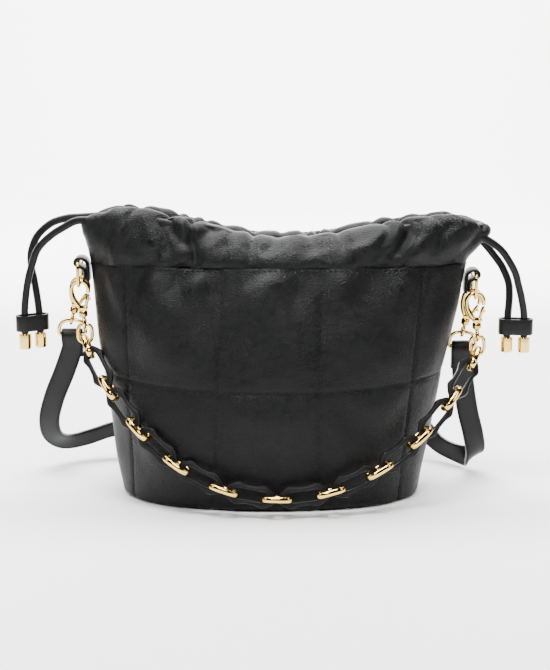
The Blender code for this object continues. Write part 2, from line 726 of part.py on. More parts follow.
def strap_fold(side):
    """The strap's end goes up behind the D-ring's bar, over it and down again in front."""
    bar = d_ring_bar(side)
    turn = D_RING_WIRE / 2 + 3.5 * GAP + STRAP_THICKNESS / 2
    back = STRAP_THICKNESS + GAP
    front_y = -0.3 * MM
    fold = [(0, front_y + back, -16 * MM), (0, front_y + back, -9 * MM), (0, turn, -1.0 * MM)]
    fold += [(0, turn * cos(t), turn * sin(t)) for t in np.linspace(0.35, pi - 0.35, 5)]
    fold += [(0, -turn, -1.0 * MM), (0, front_y - 0.6 * MM, -7.5 * MM)]
    return [np.array(bar) + np.array(p) for p in fold]


def strap_mesh(name):
    halves = []
    for side, local in ((-1, LEFT_ROUTE), (1, RIGHT_ROUTE)):
        bar = np.array(d_ring_bar(side))
        points = strap_fold(side)
        sides = [(1, 0, 0)] * len(points)
        for place, width in local:
            points.append(bar + np.array(place) * MM)
            sides.append(width)
        halves.append((points, sides))
    lift = (0, 0, (STRAP_WIDTH - STOWED_WIDTH) / 2)  # a wider strap on edge stands higher
    route = halves[0][0] + [np.array(p) * MM + lift for p in STOWED_ROUTE] + halves[1][0][::-1]
    widths = halves[0][1] + [(0, 0, 1)] * len(STOWED_ROUTE) + halves[1][1][::-1]
    path, sides = [], []
    for i in range(len(route) - 1):
        near = [np.array(p) for p in route[max(i - 1, 0):i + 3]]
        length = np.linalg.norm(route[i + 1] - route[i])
        steps = max(1, round(length / STRAP_STEP))
        before = near[0] if i > 0 else 2 * route[0] - route[1]
        after = route[i + 2] if i + 2 < len(route) else 2 * route[-1] - route[-2]
        b, c = route[i], route[i + 1]
        for k in range(steps):
            t = k / steps
            bend = 2 * b + (c - before) * t + (2 * before - 5 * b + 4 * c - after) * t**2
            path.append((bend + (3 * b - before - 3 * c + after) * t**3) / 2)
            ease = t * t * (3 - 2 * t)
            sides.append((1 - ease) * np.array(widths[i]) + ease * np.array(widths[i + 1]))
    path.append(route[-1])
    sides.append(np.array(widths[-1]))
    return tube_mesh(name, [Vector(p) for p in path], box_section(STRAP_WIDTH, STRAP_THICKNESS), side=sides)


def build_strap():
    ring = d_ring_mesh()
    for side, word in ((-1, "left"), (1, "right")):
        add_piece("strap_d_ring_" + word, ring, "gold", Matrix.Translation(d_ring_bar(side)))
    add_piece("strap", strap_mesh("strap"), "leather")


# Drawcords ------------------------------------------------------------------------------------------------

# Each tail from the casing's end down to its cap, in mm from the casing's end on that side.
TAILS = {
    "left": [
        [(-12, -10, -0.6), (-21, -9, -5), (-30.4, -8, -11), (-39.5, -6.5, -20), (-44, -5, -30.5),
         (-48, -4, -44), (-50.8, -3.2, -63), (-51.1, -3.1, -80.5)],
        [(-12, 10, -0.6), (-21.5, 10, -1.4), (-32.5, 9.4, -5), (-42, 8.2, -13.5), (-46.5, 6.8, -24.5),
         (-46.5, 5.4, -35), (-44.5, 4.2, -45), (-42.1, 3.3, -63), (-41.2, 3.1, -80.5)],
    ],
    "right": [
        [(11, -10, -2), (22, -9.5, -9.5), (29, -8, -19), (33.3, -6.5, -27), (35.7, -5, -35),
         (38.5, -3.5, -45), (40.9, -1.6, -58), (41.3, -0.6, -72.5)],
        [(10, 10, -5), (21, 10, -17.5), (26.5, 8.6, -25.5), (30.5, 7, -35.3), (31.1, 5, -43),
         (30.7, 3, -50), (29.8, 1.2, -59), (29.5, 0.6, -72.5)],
    ],
}


def casing_end(side):
    """Middle of the casing's open end, at the height of the cord that comes out there."""
    share = side * RIM_SPAN
    top = rim_top(share) - CORD_TOP
    height = top if side < 0 else top - CORD_PITCH
    centre = rim_point(share, height, CASING_THICKNESS / 2, True)
    return Vector((centre.x, 0, height))


def casing_run(share, lower, front):
    """Centre of a cord inside the casing."""
    height = rim_top(share) - CORD_TOP - (CORD_PITCH if lower else 0)
    return np.array(rim_point(share, height, CASING_THICKNESS / 2, front))


def drawcord_route(side):
    """Up one tail, through the front casing, round the far end, back through the back casing and down."""
    word = "left" if side < 0 else "right"
    origin = np.array(casing_end(side))
    front, back = [[origin + np.array(p) * MM for p in tail] for tail in TAILS[word]]
    lower = side > 0
    shares = [side * RIM_SPAN * (1 - i / 6) for i in range(13)]
    route = front[::-1] + [casing_run(share, lower, True) for share in shares]
    far_front, far_back = route[-1], casing_run(shares[-1], lower, False)
    for part, outset in CORD_RETURN:
        middle = (far_front + far_back) / 2
        route.append(middle + (far_front - middle) * part + np.array((-side * outset * MM, 0, 0)))
    route += [casing_run(share, lower, False) for share in shares[::-1]] + back
    return route


def drawcord(name, side):
    path = smooth_path(drawcord_route(side), CORD_STEP)
    curve = bpy.data.curves.new(name, "CURVE")
    curve.dimensions = "3D"
    curve.bevel_depth = CORD_DIAMETER / 2
    curve.bevel_resolution = 2
    curve.use_fill_caps = True
    spline = curve.splines.new("POLY")
    spline.points.add(len(path) - 1)
    for point, place in zip(spline.points, path):
        point.co = (*place, 1)
    curve.materials.append(material("leather"))
    cord = bpy.data.objects.new(name, curve)
    bpy.context.scene.collection.objects.link(cord)


def stadium(length, width, count=24):
    """Outline with two straight sides and two round ends, in the local XY plane."""
    half, radius = (length - width) / 2, width / 2
    points = []
    for i in range(count):
        turn = 2 * pi * (i + 0.5) / count
        shift = half if cos(turn) > 0 else -half
        points.append((shift + radius * cos(turn), radius * sin(turn)))
    return points


def cap_mesh():
    """A turned cap whose top face, the local origin, meets the cord's end."""
    radius, edge = CAP_DIAMETER / 2, 0.4 * MM
    outline = [(0, -CAP_LENGTH), (radius - edge, -CAP_LENGTH), (radius, -CAP_LENGTH + edge)]
    outline += [(radius, -edge), (radius - edge, 0), (0, 0)]
    return lathe_mesh("cap", outline, 14)


def build_drawcords():
    inner_length = KEEPER_LENGTH - 2 * KEEPER_WALL
    inner_depth = KEEPER_DEPTH - 2 * KEEPER_WALL
    outer = stadium(KEEPER_LENGTH, KEEPER_DEPTH)
    inner = stadium(inner_length, inner_depth)
    keeper = ring_plate_mesh("keeper", outer, inner, KEEPER_HEIGHT)
    cap = cap_mesh()
    for side, word in ((-1, "left"), (1, "right")):
        drawcord("drawcord_" + word, side)
        origin = casing_end(side)
        ends = [origin + Vector(tail[-1]) * MM for tail in TAILS[word]]
        middle = (ends[0] + ends[1]) / 2
        across = (ends[1] - ends[0]).normalized() * -side
        up = Vector((0, 0, 1))
        rise = Vector((0, 0, CAP_LENGTH * 0.1 + KEEPER_HEIGHT / 2 + 2 * GAP))
        place = frame_at(middle + rise, across, up.cross(across), up)
        add_piece("keeper_" + word, keeper, "leather", place)
        for end, which in zip(ends, ("front", "back")):
            spot = Matrix.Translation(end - Vector((0, 0, GAP)))
            add_piece(f"cord_cap_{word}_{which}", cap, "gold", spot)


def main():
    clear_scene()
    build_body()
    build_casing()
    build_side(-1, "left")
    build_side(1, "right")
    build_clasps()
    build_chain()
    build_strap()
    build_drawcords()


main()
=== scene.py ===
"""Black leather bucket bag with a gathered rim, a chain handle, a crossbody strap and drawcords.

Metres, +Z up, -Y is the front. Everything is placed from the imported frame.
"""

import json
from math import cos, pi, radians, sin

import bmesh
import bpy
import numpy as np
from bpy.props import FloatProperty, FloatVectorProperty, IntProperty, PointerProperty
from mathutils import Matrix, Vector


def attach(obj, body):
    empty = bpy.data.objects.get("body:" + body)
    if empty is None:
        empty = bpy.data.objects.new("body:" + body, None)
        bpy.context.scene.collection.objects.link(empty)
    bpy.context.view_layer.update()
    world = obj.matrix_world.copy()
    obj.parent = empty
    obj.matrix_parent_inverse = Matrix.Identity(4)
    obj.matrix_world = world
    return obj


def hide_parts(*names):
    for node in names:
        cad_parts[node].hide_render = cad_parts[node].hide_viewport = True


bl_info = {
    "name": "Bucket bag",
    "version": (1, 0, 0),
    "blender": (4, 5, 0),
    "location": "View3D > Sidebar > Bucket bag",
    "description": "Builds a gathered leather bucket bag round its packed frame",
    "category": "Object",
}

MM = 0.001
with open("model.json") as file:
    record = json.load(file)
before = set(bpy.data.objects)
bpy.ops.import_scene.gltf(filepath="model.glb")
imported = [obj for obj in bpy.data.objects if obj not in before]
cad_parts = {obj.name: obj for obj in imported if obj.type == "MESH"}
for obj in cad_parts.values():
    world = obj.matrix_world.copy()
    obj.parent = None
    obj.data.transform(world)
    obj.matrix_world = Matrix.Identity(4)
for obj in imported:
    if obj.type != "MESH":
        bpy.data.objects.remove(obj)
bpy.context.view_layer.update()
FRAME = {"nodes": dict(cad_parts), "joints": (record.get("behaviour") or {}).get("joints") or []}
JOINTS = {joint["name"]: joint for joint in FRAME["joints"]}


def linear(code):
    """An sRGB hex colour as the linear colour that a shader wants."""
    parts = [int(code[i : i + 2], 16) / 255 for i in (1, 3, 5)]
    return (*[p / 12.92 if p <= 0.04045 else ((p + 0.055) / 1.055) ** 2.4 for p in parts], 1)


def length_setting(name, description, default):
    return FloatProperty(
        name=name, description=description, default=default, min=0, unit="LENGTH", precision=4
    )


def colour_setting(name, description, code):
    return FloatVectorProperty(
        name=name, description=description, default=linear(code)[:3], size=3, min=0, max=1, subtype="COLOR"
    )


class BagLeatherSettings(bpy.types.PropertyGroup):
    leather: colour_setting("Leather", "Colour of the pebbled body leather", "#08090B")
    trim: colour_setting("Trim", "Colour of the smooth strap and link leather", "#070708")
    pebble: length_setting("Pebble", "Width of one pebble of the tumbled grain", 1.5 * MM)
    grain_depth: length_setting("Grain depth", "Depth of the creases between pebbles", 0.14 * MM)
    seam_depth: length_setting("Seam depth", "How far the topstitched seams sink", 0.7 * MM)
    pillow: length_setting("Pillow", "How far each patch puffs out between seams", 1.3 * MM)
    pleat_depth: length_setting("Pleat depth", "Depth of the gathers at the rim", 4.3 * MM)
    stitch: length_setting("Stitch", "Length of one stitch on the body", 2.6 * MM)


class BagMetalSettings(bpy.types.PropertyGroup):
    gold: colour_setting("Gold", "Colour of the plated fittings", "#E9C56F")
    wire: length_setting("Hook wire", "Thickness of the clasp hooks", 3.1 * MM)
    link_band: length_setting("Link band", "Width of a gold link's band", 4.0 * MM)


class BagStrapSettings(bpy.types.PropertyGroup):
    width: length_setting("Width", "Width of the crossbody strap", 15 * MM)
    thickness: length_setting("Thickness", "Thickness of the crossbody strap", 2.4 * MM)
    edge_stitch: length_setting("Edge stitch", "Stitch line in from the strap's edges", 1.9 * MM)
    cord: length_setting("Drawcord", "Diameter of the drawcords", 5.2 * MM)


class BagStageSettings(bpy.types.PropertyGroup):
    backdrop: colour_setting("Backdrop", "Colour of the paper sweep", "#F7F7F7")
    key: FloatProperty(
        name="Key light", description="Power that the lights multiply", default=9.0, min=0, unit="POWER"
    )
    lens: IntProperty(name="Lens", description="Focal length in millimetres", default=85, min=20)


def settings():
    return bpy.context.scene.bucket_bag


# Materials ------------------------------------------------------------------------------------------------


def node(tree, kind, inputs=None, **values):
    """Adds a node, sets its values, and sets or links its inputs."""
    made = tree.nodes.new(kind)
    for name, value in values.items():
        setattr(made, name, value)
    for key, value in (inputs or {}).items():
        if isinstance(value, bpy.types.NodeSocket):
            tree.links.new(value, made.inputs[key])
        else:
            made.inputs[key].default_value = value
    return made


def new_material(name, **sockets):
    """A material with its constant sockets set on the shader itself: its tree and its object coordinates."""
    made = bpy.data.materials.new(name)
    made.use_nodes = True
    tree = made.node_tree
    for key, value in sockets.items():
        tree.nodes["Principled BSDF"].inputs[key.replace("_", " ")].default_value = value
    return tree, node(tree, "ShaderNodeTexCoord").outputs["Object"]


def to_shader(tree, **sockets):
    """Joins sockets to the shader's inputs; an underscore stands for a space."""
    for key, value in sockets.items():
        tree.links.new(value, tree.nodes["Principled BSDF"].inputs[key.replace("_", " ")])


def noise(tree, place, scale, detail, roughness=0.5):
    inputs = {"Vector": place, "Scale": scale, "Detail": detail, "Roughness": roughness}
    return node(tree, "ShaderNodeTexNoise", inputs).outputs["Fac"]


def maths(tree, operation, *values):
    return node(tree, "ShaderNodeMath", dict(enumerate(values)), operation=operation).outputs[0]


def ramp(tree, value, *stops):
    """A colour for a value, from two stops of place and colour."""
    made = node(tree, "ShaderNodeValToRGB", {"Fac": value})
    for element, (place, colour) in zip(made.color_ramp.elements, stops):
        element.position, element.color = place, colour
    return made.outputs[0]


def span(tree, value, low, high, start=0.0):
    """A value from start to 1, spread from low to high."""
    inputs = {"Value": value, "From Min": start, "To Min": low, "To Max": high}
    return node(tree, "ShaderNodeMapRange", inputs).outputs[0]


def bump(tree, height, distance, strength=1.0):
    inputs = {"Height": height, "Distance": distance, "Strength": strength}
    return node(tree, "ShaderNodeBump", inputs).outputs[0]


def shade(colour, factor):
    return (*[min(c * factor, 1) for c in colour[:3]], 1)


def pebbled_leather(name):
    """Tumbled, drum-dyed cow leather: soft rounded pebbles with painted shade in the creases between them,
    a satin finish that is glossier where it is rubbed, and painted highlight on ridges, painted shade in
    hollows."""
    look = settings().leather
    tree, place = new_material(name, IOR=1.48, Specular_IOR_Level=0.17)
    drift = node(tree, "ShaderNodeTexNoise", {"Vector": place, "Scale": 420, "Detail": 2}).outputs["Color"]
    bent = node(tree, "ShaderNodeMix", {0: 0.0009, 4: place, 5: drift}, data_type="VECTOR").outputs[1]
    cells = {"Vector": bent, "Scale": 1 / look.pebble, "Randomness": 0.9}
    edges = node(tree, "ShaderNodeTexVoronoi", cells, feature="DISTANCE_TO_EDGE").outputs["Distance"]
    pebbles = node(
        tree, "ShaderNodeMapRange", {"Value": edges, "From Max": 0.34}, interpolation_type="SMOOTHSTEP"
    ).outputs["Result"]
    fine = noise(tree, place, 2600, 3, 0.6)
    cloud = noise(tree, place, 38, 4, 0.55)
    # Painted highlight on fold ridges and painted shade in hollows, seam grooves and gather valleys, read
    # from the mesh.
    relief = node(tree, "ShaderNodeAttribute", attribute_name="relief").outputs["Fac"]
    # A random tone plus that painted shading; the same sum also makes the ridges glossier.
    tone_and_shading = maths(tree, "ADD", cloud, relief)
    top_tone_and_shading = ramp(tree, tone_and_shading, (0.25, shade(look.leather, 0.55)), (0.95, shade(look.leather, 1.5)))
    # Painted shade: the creases between pebbles are darkened to 0.35 of the leather colour, the pebble tops
    # keep the lighter tone.
    crease_shade_mix = {0: pebbles, 6: shade(look.leather, 0.35), 7: top_tone_and_shading}
    colour = node(tree, "ShaderNodeMix", crease_shade_mix, data_type="RGBA").outputs[2]
    rough = span(tree, tone_and_shading, 0.42, 0.28, start=0.2)
    height = maths(tree, "MULTIPLY_ADD", pebbles, fine, pebbles)
    to_shader(tree, Base_Color=colour, Roughness=rough, Normal=bump(tree, height, look.grain_depth, 0.9))


def trim_leather(name):
    """Smooth finished calf leather: a fine pore grain, a soft gloss and faint handling marks."""
    look = settings().leather
    tree, place = new_material(name, IOR=1.5, Specular_IOR_Level=0.2)
    cells = {"Vector": place, "Scale": 1700, "Randomness": 1.0}
    pores = node(tree, "ShaderNodeTexVoronoi", cells, feature="SMOOTH_F1").outputs["Distance"]
    cloud = noise(tree, place, 60, 3)
    height = maths(tree, "ADD", pores, noise(tree, place, 700, 4, 0.6))
    colour = ramp(tree, cloud, (0.3, shade(look.trim, 0.7)), (0.75, shade(look.trim, 1.6)))
    rough = span(tree, cloud, 0.36, 0.50)
    to_shader(tree, Base_Color=colour, Roughness=rough, Normal=bump(tree, height, 0.06 * MM, 0.6))


def edge_paint(name):
    """Acrylic edge paint on cut leather: a smooth, rounded, slightly glossy black bead with faint ripples."""
    tree, place = new_material(name, IOR=1.49, Specular_IOR_Level=0.7)
    ripple = noise(tree, place, 350, 2)
    colour = ramp(tree, ripple, (0.3, linear("#0B0B0C")), (0.7, linear("#141416")))
    rough = span(tree, ripple, 0.16, 0.28)
    to_shader(tree, Base_Color=colour, Roughness=rough, Normal=bump(tree, ripple, 0.08 * MM, 0.4))


def gold_plating(name):
    """Pale gold plated on polished zinc alloy: mirror-like with a faint orange-peel and slightly duller
    patches where hands have touched it."""
    gold = settings().metal.gold
    tree, place = new_material(name, Metallic=1.0)
    touched = noise(tree, place, 120, 4)
    peel = noise(tree, place, 900, 1)
    colour = ramp(tree, touched, (0.3, shade(gold, 0.9)), (0.7, shade(gold, 1.06)))
    rough = span(tree, touched, 0.05, 0.14)
    to_shader(tree, Base_Color=colour, Roughness=rough, Normal=bump(tree, peel, 0.02 * MM, 0.3))


def bonded_thread(name):
    """Bonded polyester thread, black, with a slight waxy shine and a twist that is too fine to show, so it is
    drawn a little coarser."""
    tree, place = new_material(name, Roughness=0.6, Specular_IOR_Level=0.15)
    waves = {"Vector": place, "Scale": 450, "Distortion": 2.0}
    twist = node(tree, "ShaderNodeTexWave", waves).outputs["Fac"]
    colour = ramp(tree, twist, (0.0, linear("#040405")), (1.0, linear("#0C0C0E")))
    to_shader(tree, Base_Color=colour, Normal=bump(tree, twist, 0.05 * MM))


def twill_lining(name):
    """Black polyester twill: diagonal ribs, drawn coarser than real so that they show, and a soft sheen."""
    tree, place = new_material(name, Roughness=0.75, Sheen_Weight=0.25)
    slanted = node(tree, "ShaderNodeMapping", {"Vector": place, "Rotation": (0, radians(45), 0)}).outputs[0]
    waves = {"Vector": slanted, "Scale": 180, "Distortion": 0.4}
    ribs = node(tree, "ShaderNodeTexWave", waves).outputs["Fac"]
    both = maths(tree, "MULTIPLY", ribs, noise(tree, place, 90, 4))
    colour = ramp(tree, both, (0.1, linear("#101114")), (0.8, linear("#2A2B30")))
    to_shader(tree, Base_Color=colour, Normal=bump(tree, ribs, 0.15 * MM))


def fibre_board(name):
    """Grey-brown bonded fibre board: matt, with flecks of leather fibre."""
    tree, place = new_material(name, Roughness=0.9)
    flecks = noise(tree, place, 500, 5, 0.7)
    colour = ramp(tree, flecks, (0.35, linear("#4A443C")), (0.65, linear("#6B6357")))
    to_shader(tree, Base_Color=colour, Normal=bump(tree, flecks, 0.1 * MM))


def white_paper(name):
    """Matt white background paper with a barely visible fibre."""
    white = settings().stage.backdrop
    tree, _ = new_material(name, Roughness=0.95)
    fibre = node(tree, "ShaderNodeTexNoise", {"Scale": 400, "Detail": 3}).outputs["Fac"]
    to_shader(tree, Base_Color=ramp(tree, fibre, (0, shade(white, 0.99)), (1, shade(white, 1.0))))


# Each finish with the function that makes it and the slot of the pieces that wear it.
FINISHES = {
    "pebbled_cow_leather": (pebbled_leather, "black_leather"),
    "smooth_calf_leather": (trim_leather, "black_leather"),
    "painted_leather_edge": (edge_paint, "black_leather"),
    "pale_gold_plated_zinc": (gold_plating, "gold_plated_brass"),
    "bonded_polyester_thread": (bonded_thread, "black_leather"),
    "polyester_twill_lining": (twill_lining, "lining_fabric"),
    "bonded_fibre_board": (fibre_board, None),
    "matt_white_paper": (white_paper, None),
}
BODY, TRIM = ["pebbled_cow_leather"], ["smooth_calf_leather"]
PAINTED = TRIM + ["painted_leather_edge"]
GOLD, LINING, THREAD = ["pale_gold_plated_zinc"], ["polyester_twill_lining"], "bonded_polyester_thread"


def finish_of(name):
    if name not in bpy.data.materials:
        FINISHES[name][0](name)
    return bpy.data.materials[name]


# Mesh helpers ---------------------------------------------------------------------------------------------


def add_object(name, data):
    made = bpy.data.objects.new(name, data)
    bpy.context.scene.collection.objects.link(made)
    return made


def make_piece(name, shape, finishes, replaces=(), body="root", face_finish=None, crease=40):
    """A piece whose place is in its mesh, with its faces outwards, riding on a body of the frame."""
    mesh = bpy.data.meshes.new(name)
    mesh.from_pydata(np.asarray(shape[0], float).tolist(), [], shape[1])
    for finish in finishes:
        mesh.materials.append(finish_of(finish))
    if face_finish is not None:
        mesh.polygons.foreach_set("material_index", face_finish)
    work = bmesh.new()
    work.from_mesh(mesh)
    if work.calc_volume(signed=True) < 0:
        bmesh.ops.reverse_faces(work, faces=work.faces)
    work.to_mesh(mesh)
    work.free()
    mesh.shade_smooth()
    mesh.set_sharp_from_angle(angle=radians(crease))
    return settle(add_object(name, mesh), body, replaces)


def settle(piece, body="root", replaces=()):
    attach(piece, body)
    if replaces:
        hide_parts(*replaces)
    return piece


def grid_faces(rows, columns, closed_rows=False, closed_columns=False):
    """Quads of a grid of points numbered row by row."""
    row = np.arange(rows if closed_rows else rows - 1)[:, None]
    column = np.arange(columns if closed_columns else columns - 1)[None, :]
    next_row, next_column = (row + 1) % rows, (column + 1) % columns
    corners = (row, column), (row, next_column), (next_row, next_column), (next_row, column)
    return np.stack([(r * columns + c).ravel() for r, c in corners], axis=1).tolist()


def capped_grid(rings):
    """Points and faces of a solid made of equal closed rings, with a face at each end."""
    rings = np.asarray(rings, float)
    count, size = rings.shape[:2]
    faces = grid_faces(count, size, closed_columns=True)
    faces.append(list(range(size))[::-1])
    faces.append(list(range((count - 1) * size, count * size)))
    return rings.reshape(-1, 3), faces


def looped_grid(rings):
    """Points and faces of equal closed rings, the last joined to the first."""
    rings = np.asarray(rings, float)
    return rings.reshape(-1, 3), grid_faces(*rings.shape[:2], closed_rows=True, closed_columns=True)


def unit(vectors):
    vectors = np.asarray(vectors, float)
    return vectors / np.maximum(np.linalg.norm(vectors, axis=-1, keepdims=True), 1e-12)


def smooth_step(values, low, high):
    t = np.clip((values - low) / (high - low), 0, 1)
    return t * t * (3 - 2 * t)


def through(route, step):
    """Points about a step apart on a smooth curve through a route's own points; any number of columns."""
    route = np.asarray(route, float)
    ends = np.vstack([2 * route[0] - route[1], route, 2 * route[-1] - route[-2]])
    dense = []
    for a, b, c, d in zip(ends, ends[1:], ends[2:], ends[3:]):
        t = np.linspace(0, 1, 24, endpoint=False)[:, None]
        bend = 2 * b + (c - a) * t + (2 * a - 5 * b + 4 * c - d) * t**2
        dense.append((bend + (3 * b - a - 3 * c + d) * t**3) / 2)
    dense = np.vstack([*dense, route[-1:]])
    along = np.r_[0, np.cumsum(np.linalg.norm(np.diff(dense[:, :3], axis=0), axis=1))]
    places = np.linspace(0, along[-1], max(2, round(along[-1] / step)) + 1)
    return np.array([np.interp(places, along, dense[:, k]) for k in range(dense.shape[1])]).T


def swept(path, section, sides=None, closed=False):
    """Rings of a section carried along a path; sides is the section's first axis, or one for each point."""
    path = np.asarray(path, float)
    if sides is not None:
        sides = np.broadcast_to(np.asarray(sides, float), path.shape)
    ahead = np.roll(path, -1, axis=0) - np.roll(path, 1, axis=0)
    if not closed:
        ahead[0], ahead[-1] = path[1] - path[0], path[-1] - path[-2]
    ahead = unit(ahead)
    rings, first = [], None
    for i, (centre, along) in enumerate(zip(path, ahead)):
        wanted = sides[i] if sides is not None else first
        if wanted is None:
            wanted = np.array(Vector(along).orthogonal())
        first = unit(wanted - along * (wanted @ along))
        second = np.cross(along, first)
        rings.append([centre + first * a + second * b for a, b in section])
    return np.array(rings)


def round_section(diameter, sides=12):
    turns = np.linspace(0, 2 * pi, sides, endpoint=False)
    return np.c_[diameter / 2 * np.cos(turns), diameter / 2 * np.sin(turns)]


def rounded_section(width, thickness, sides=5):
    """A flat section whose two edges are half round."""
    turns = np.linspace(-pi / 2, pi / 2, sides)
    flat = width / 2 - thickness / 2
    right = [(flat + thickness / 2 * cos(t), thickness / 2 * sin(t)) for t in turns]
    return right + [(-x, -y) for x, y in right]


def turned(outline, sides=40):
    """Points and faces of an outline of (radius, height) turned round Z, closed at both ends."""
    turns = np.linspace(0, 2 * pi, sides, endpoint=False)
    inner = np.asarray(outline[1:-1], float)
    rings = [[(r * cos(t), r * sin(t), z) for t in turns] for r, z in inner]
    points = np.array([p for ring in rings for p in ring] + [(0, 0, outline[0][1]), (0, 0, outline[-1][1])])
    faces = grid_faces(len(rings), sides, closed_columns=True)
    low, high, last = len(points) - 2, len(points) - 1, (len(rings) - 1) * sides
    for i in range(sides):
        faces.append([(i + 1) % sides, i, low])
        faces.append([last + i, last + (i + 1) % sides, high])
    return points, faces


def placed(shape, origin, axes):
    """Points and faces moved to a place whose local axes are the rows of axes."""
    return np.asarray(shape[0], float) @ np.asarray(axes, float) + np.asarray(origin, float), shape[1]


def gathered(parts):
    """Several point and face lists as one."""
    points, faces, start = [], [], 0
    for some, theirs in parts:
        points.append(np.asarray(some, float))
        faces += [[i + start for i in face] for face in theirs]
        start += len(some)
    return np.vstack(points), faces


# Stitches -------------------------------------------------------------------------------------------------


def stitch_tree():
    """Geometry Nodes: short threads set end to end along lines, each turned a little at random."""
    found = bpy.data.node_groups.get("stitch_line")
    if found:
        return found
    tree = bpy.data.node_groups.new("stitch_line", "GeometryNodeTree")
    face = tree.interface
    face.new_socket("Geometry", in_out="INPUT", socket_type="NodeSocketGeometry")
    for name, default in (("Pitch", 3.6 * MM), ("Length", 2.6 * MM), ("Thickness", 0.6 * MM)):
        face.new_socket(name, in_out="INPUT", socket_type="NodeSocketFloat").default_value = default
    face.new_socket("Seed", in_out="INPUT", socket_type="NodeSocketInt").default_value = 7
    face.new_socket("Thread", in_out="INPUT", socket_type="NodeSocketMaterial")
    face.new_socket("Geometry", in_out="OUTPUT", socket_type="NodeSocketGeometry")
    given = tree.nodes.new("NodeGroupInput").outputs
    lines = node(tree, "GeometryNodeMeshToCurve", {"Mesh": given["Geometry"]})
    spacing = {"Curve": lines.outputs[0], "Length": given["Pitch"]}
    spots = node(tree, "GeometryNodeResampleCurve", spacing, mode="LENGTH")
    ahead = node(tree, "GeometryNodeInputTangent")
    aim = node(tree, "FunctionNodeAlignRotationToVector", {"Vector": ahead.outputs[0]}, axis="X")
    limits = {"Min": (0, -0.07, -0.09), "Max": (0, 0.07, 0.09), "Seed": given["Seed"]}
    wobble = node(tree, "FunctionNodeRandomValue", limits, data_type="FLOAT_VECTOR")
    turn = node(tree, "FunctionNodeEulerToRotation", {0: wobble.outputs[0]})
    turns = {0: aim.outputs[0], 1: turn.outputs[0]}
    aimed = node(tree, "FunctionNodeRotateRotation", turns, rotation_space="LOCAL")
    sizes = {"X": given["Length"], "Y": given["Thickness"], "Z": given["Thickness"]}
    size = node(tree, "ShaderNodeCombineXYZ", sizes)
    thread = node(tree, "GeometryNodeMeshUVSphere", {"Segments": 6, "Rings": 5, "Radius": 0.5})
    turned_over = {"Geometry": thread.outputs[0], "Rotation": (0, radians(90), 0)}
    lying = node(tree, "GeometryNodeTransform", turned_over)
    copies = {"Points": spots.outputs[0], "Instance": lying.outputs[0]}
    copies.update({"Rotation": aimed.outputs[0], "Scale": size.outputs[0]})
    set_out = node(tree, "GeometryNodeInstanceOnPoints", copies)
    real = node(tree, "GeometryNodeRealizeInstances", {0: set_out.outputs[0]})
    black = node(tree, "GeometryNodeSetMaterial", {"Geometry": real.outputs[0], "Material": given["Thread"]})
    out = tree.nodes.new("NodeGroupOutput")
    tree.links.new(black.outputs[0], out.inputs[0])
    return tree


def stitch_lines(name, lines, length, pitch, thickness=0.55 * MM, seed=7):
    """Stitches along lines of points, as one plain mesh."""
    points, edges = [], []
    for line in lines:
        start = len(points)
        points += [tuple(p) for p in line]
        edges += [(start + i, start + i + 1) for i in range(len(line) - 1)]
    mesh = bpy.data.meshes.new(name)
    mesh.from_pydata(points, edges, [])
    made = add_object(name, mesh)
    tree = stitch_tree()
    modifier = made.modifiers.new("stitches", "NODES")
    modifier.node_group = tree
    values = {"Length": length, "Pitch": pitch, "Thickness": thickness, "Seed": seed}
    values["Thread"] = finish_of(THREAD)
    for item in tree.interface.items_tree:
        if item.in_out == "INPUT" and item.name in values:
            modifier[item.identifier] = values[item.name]
    made.data.update()
    evaluated = made.evaluated_get(bpy.context.evaluated_depsgraph_get())
    plain = bpy.data.meshes.new_from_object(evaluated)
    made.modifiers.clear()
    made.data = plain
    plain.shade_smooth()
    return settle(made)


def panel_threads(name, lines):
    stitch = settings().leather.stitch
    return stitch_lines(name, lines, stitch, stitch * 1.42)


# Leather body ---------------------------------------------------------------------------------------------

SEAM_HEIGHT = 163 * MM  # where the rim casing is sewn on
BODY_POWER = 2.4  # 2 is an ellipse; a little squarer than that
PANEL_THICKNESS = 2.1 * MM
BASE_LEFT, BASE_RIGHT, BASE_DEPTH = 107 * MM, 101 * MM, 60 * MM  # out from the middle; half of the depth
LEFT_FLARE, RIGHT_FLARE, SEAM_TAPER = 21 * MM, 32 * MM, 24 * MM  # how much they grow or shrink up to the seam
HEM_RADIUS = 3 * MM
# Seams between patches, as x at the base and x at the rim casing.
FRONT_SEAMS = ((-0.098, -0.103), (-0.043, -0.035), (0.0285, 0.0315), (0.085, 0.101))
BACK_SEAMS = ((-0.094, -0.108), (-0.034, -0.038), (0.033, 0.039), (0.090, 0.110))
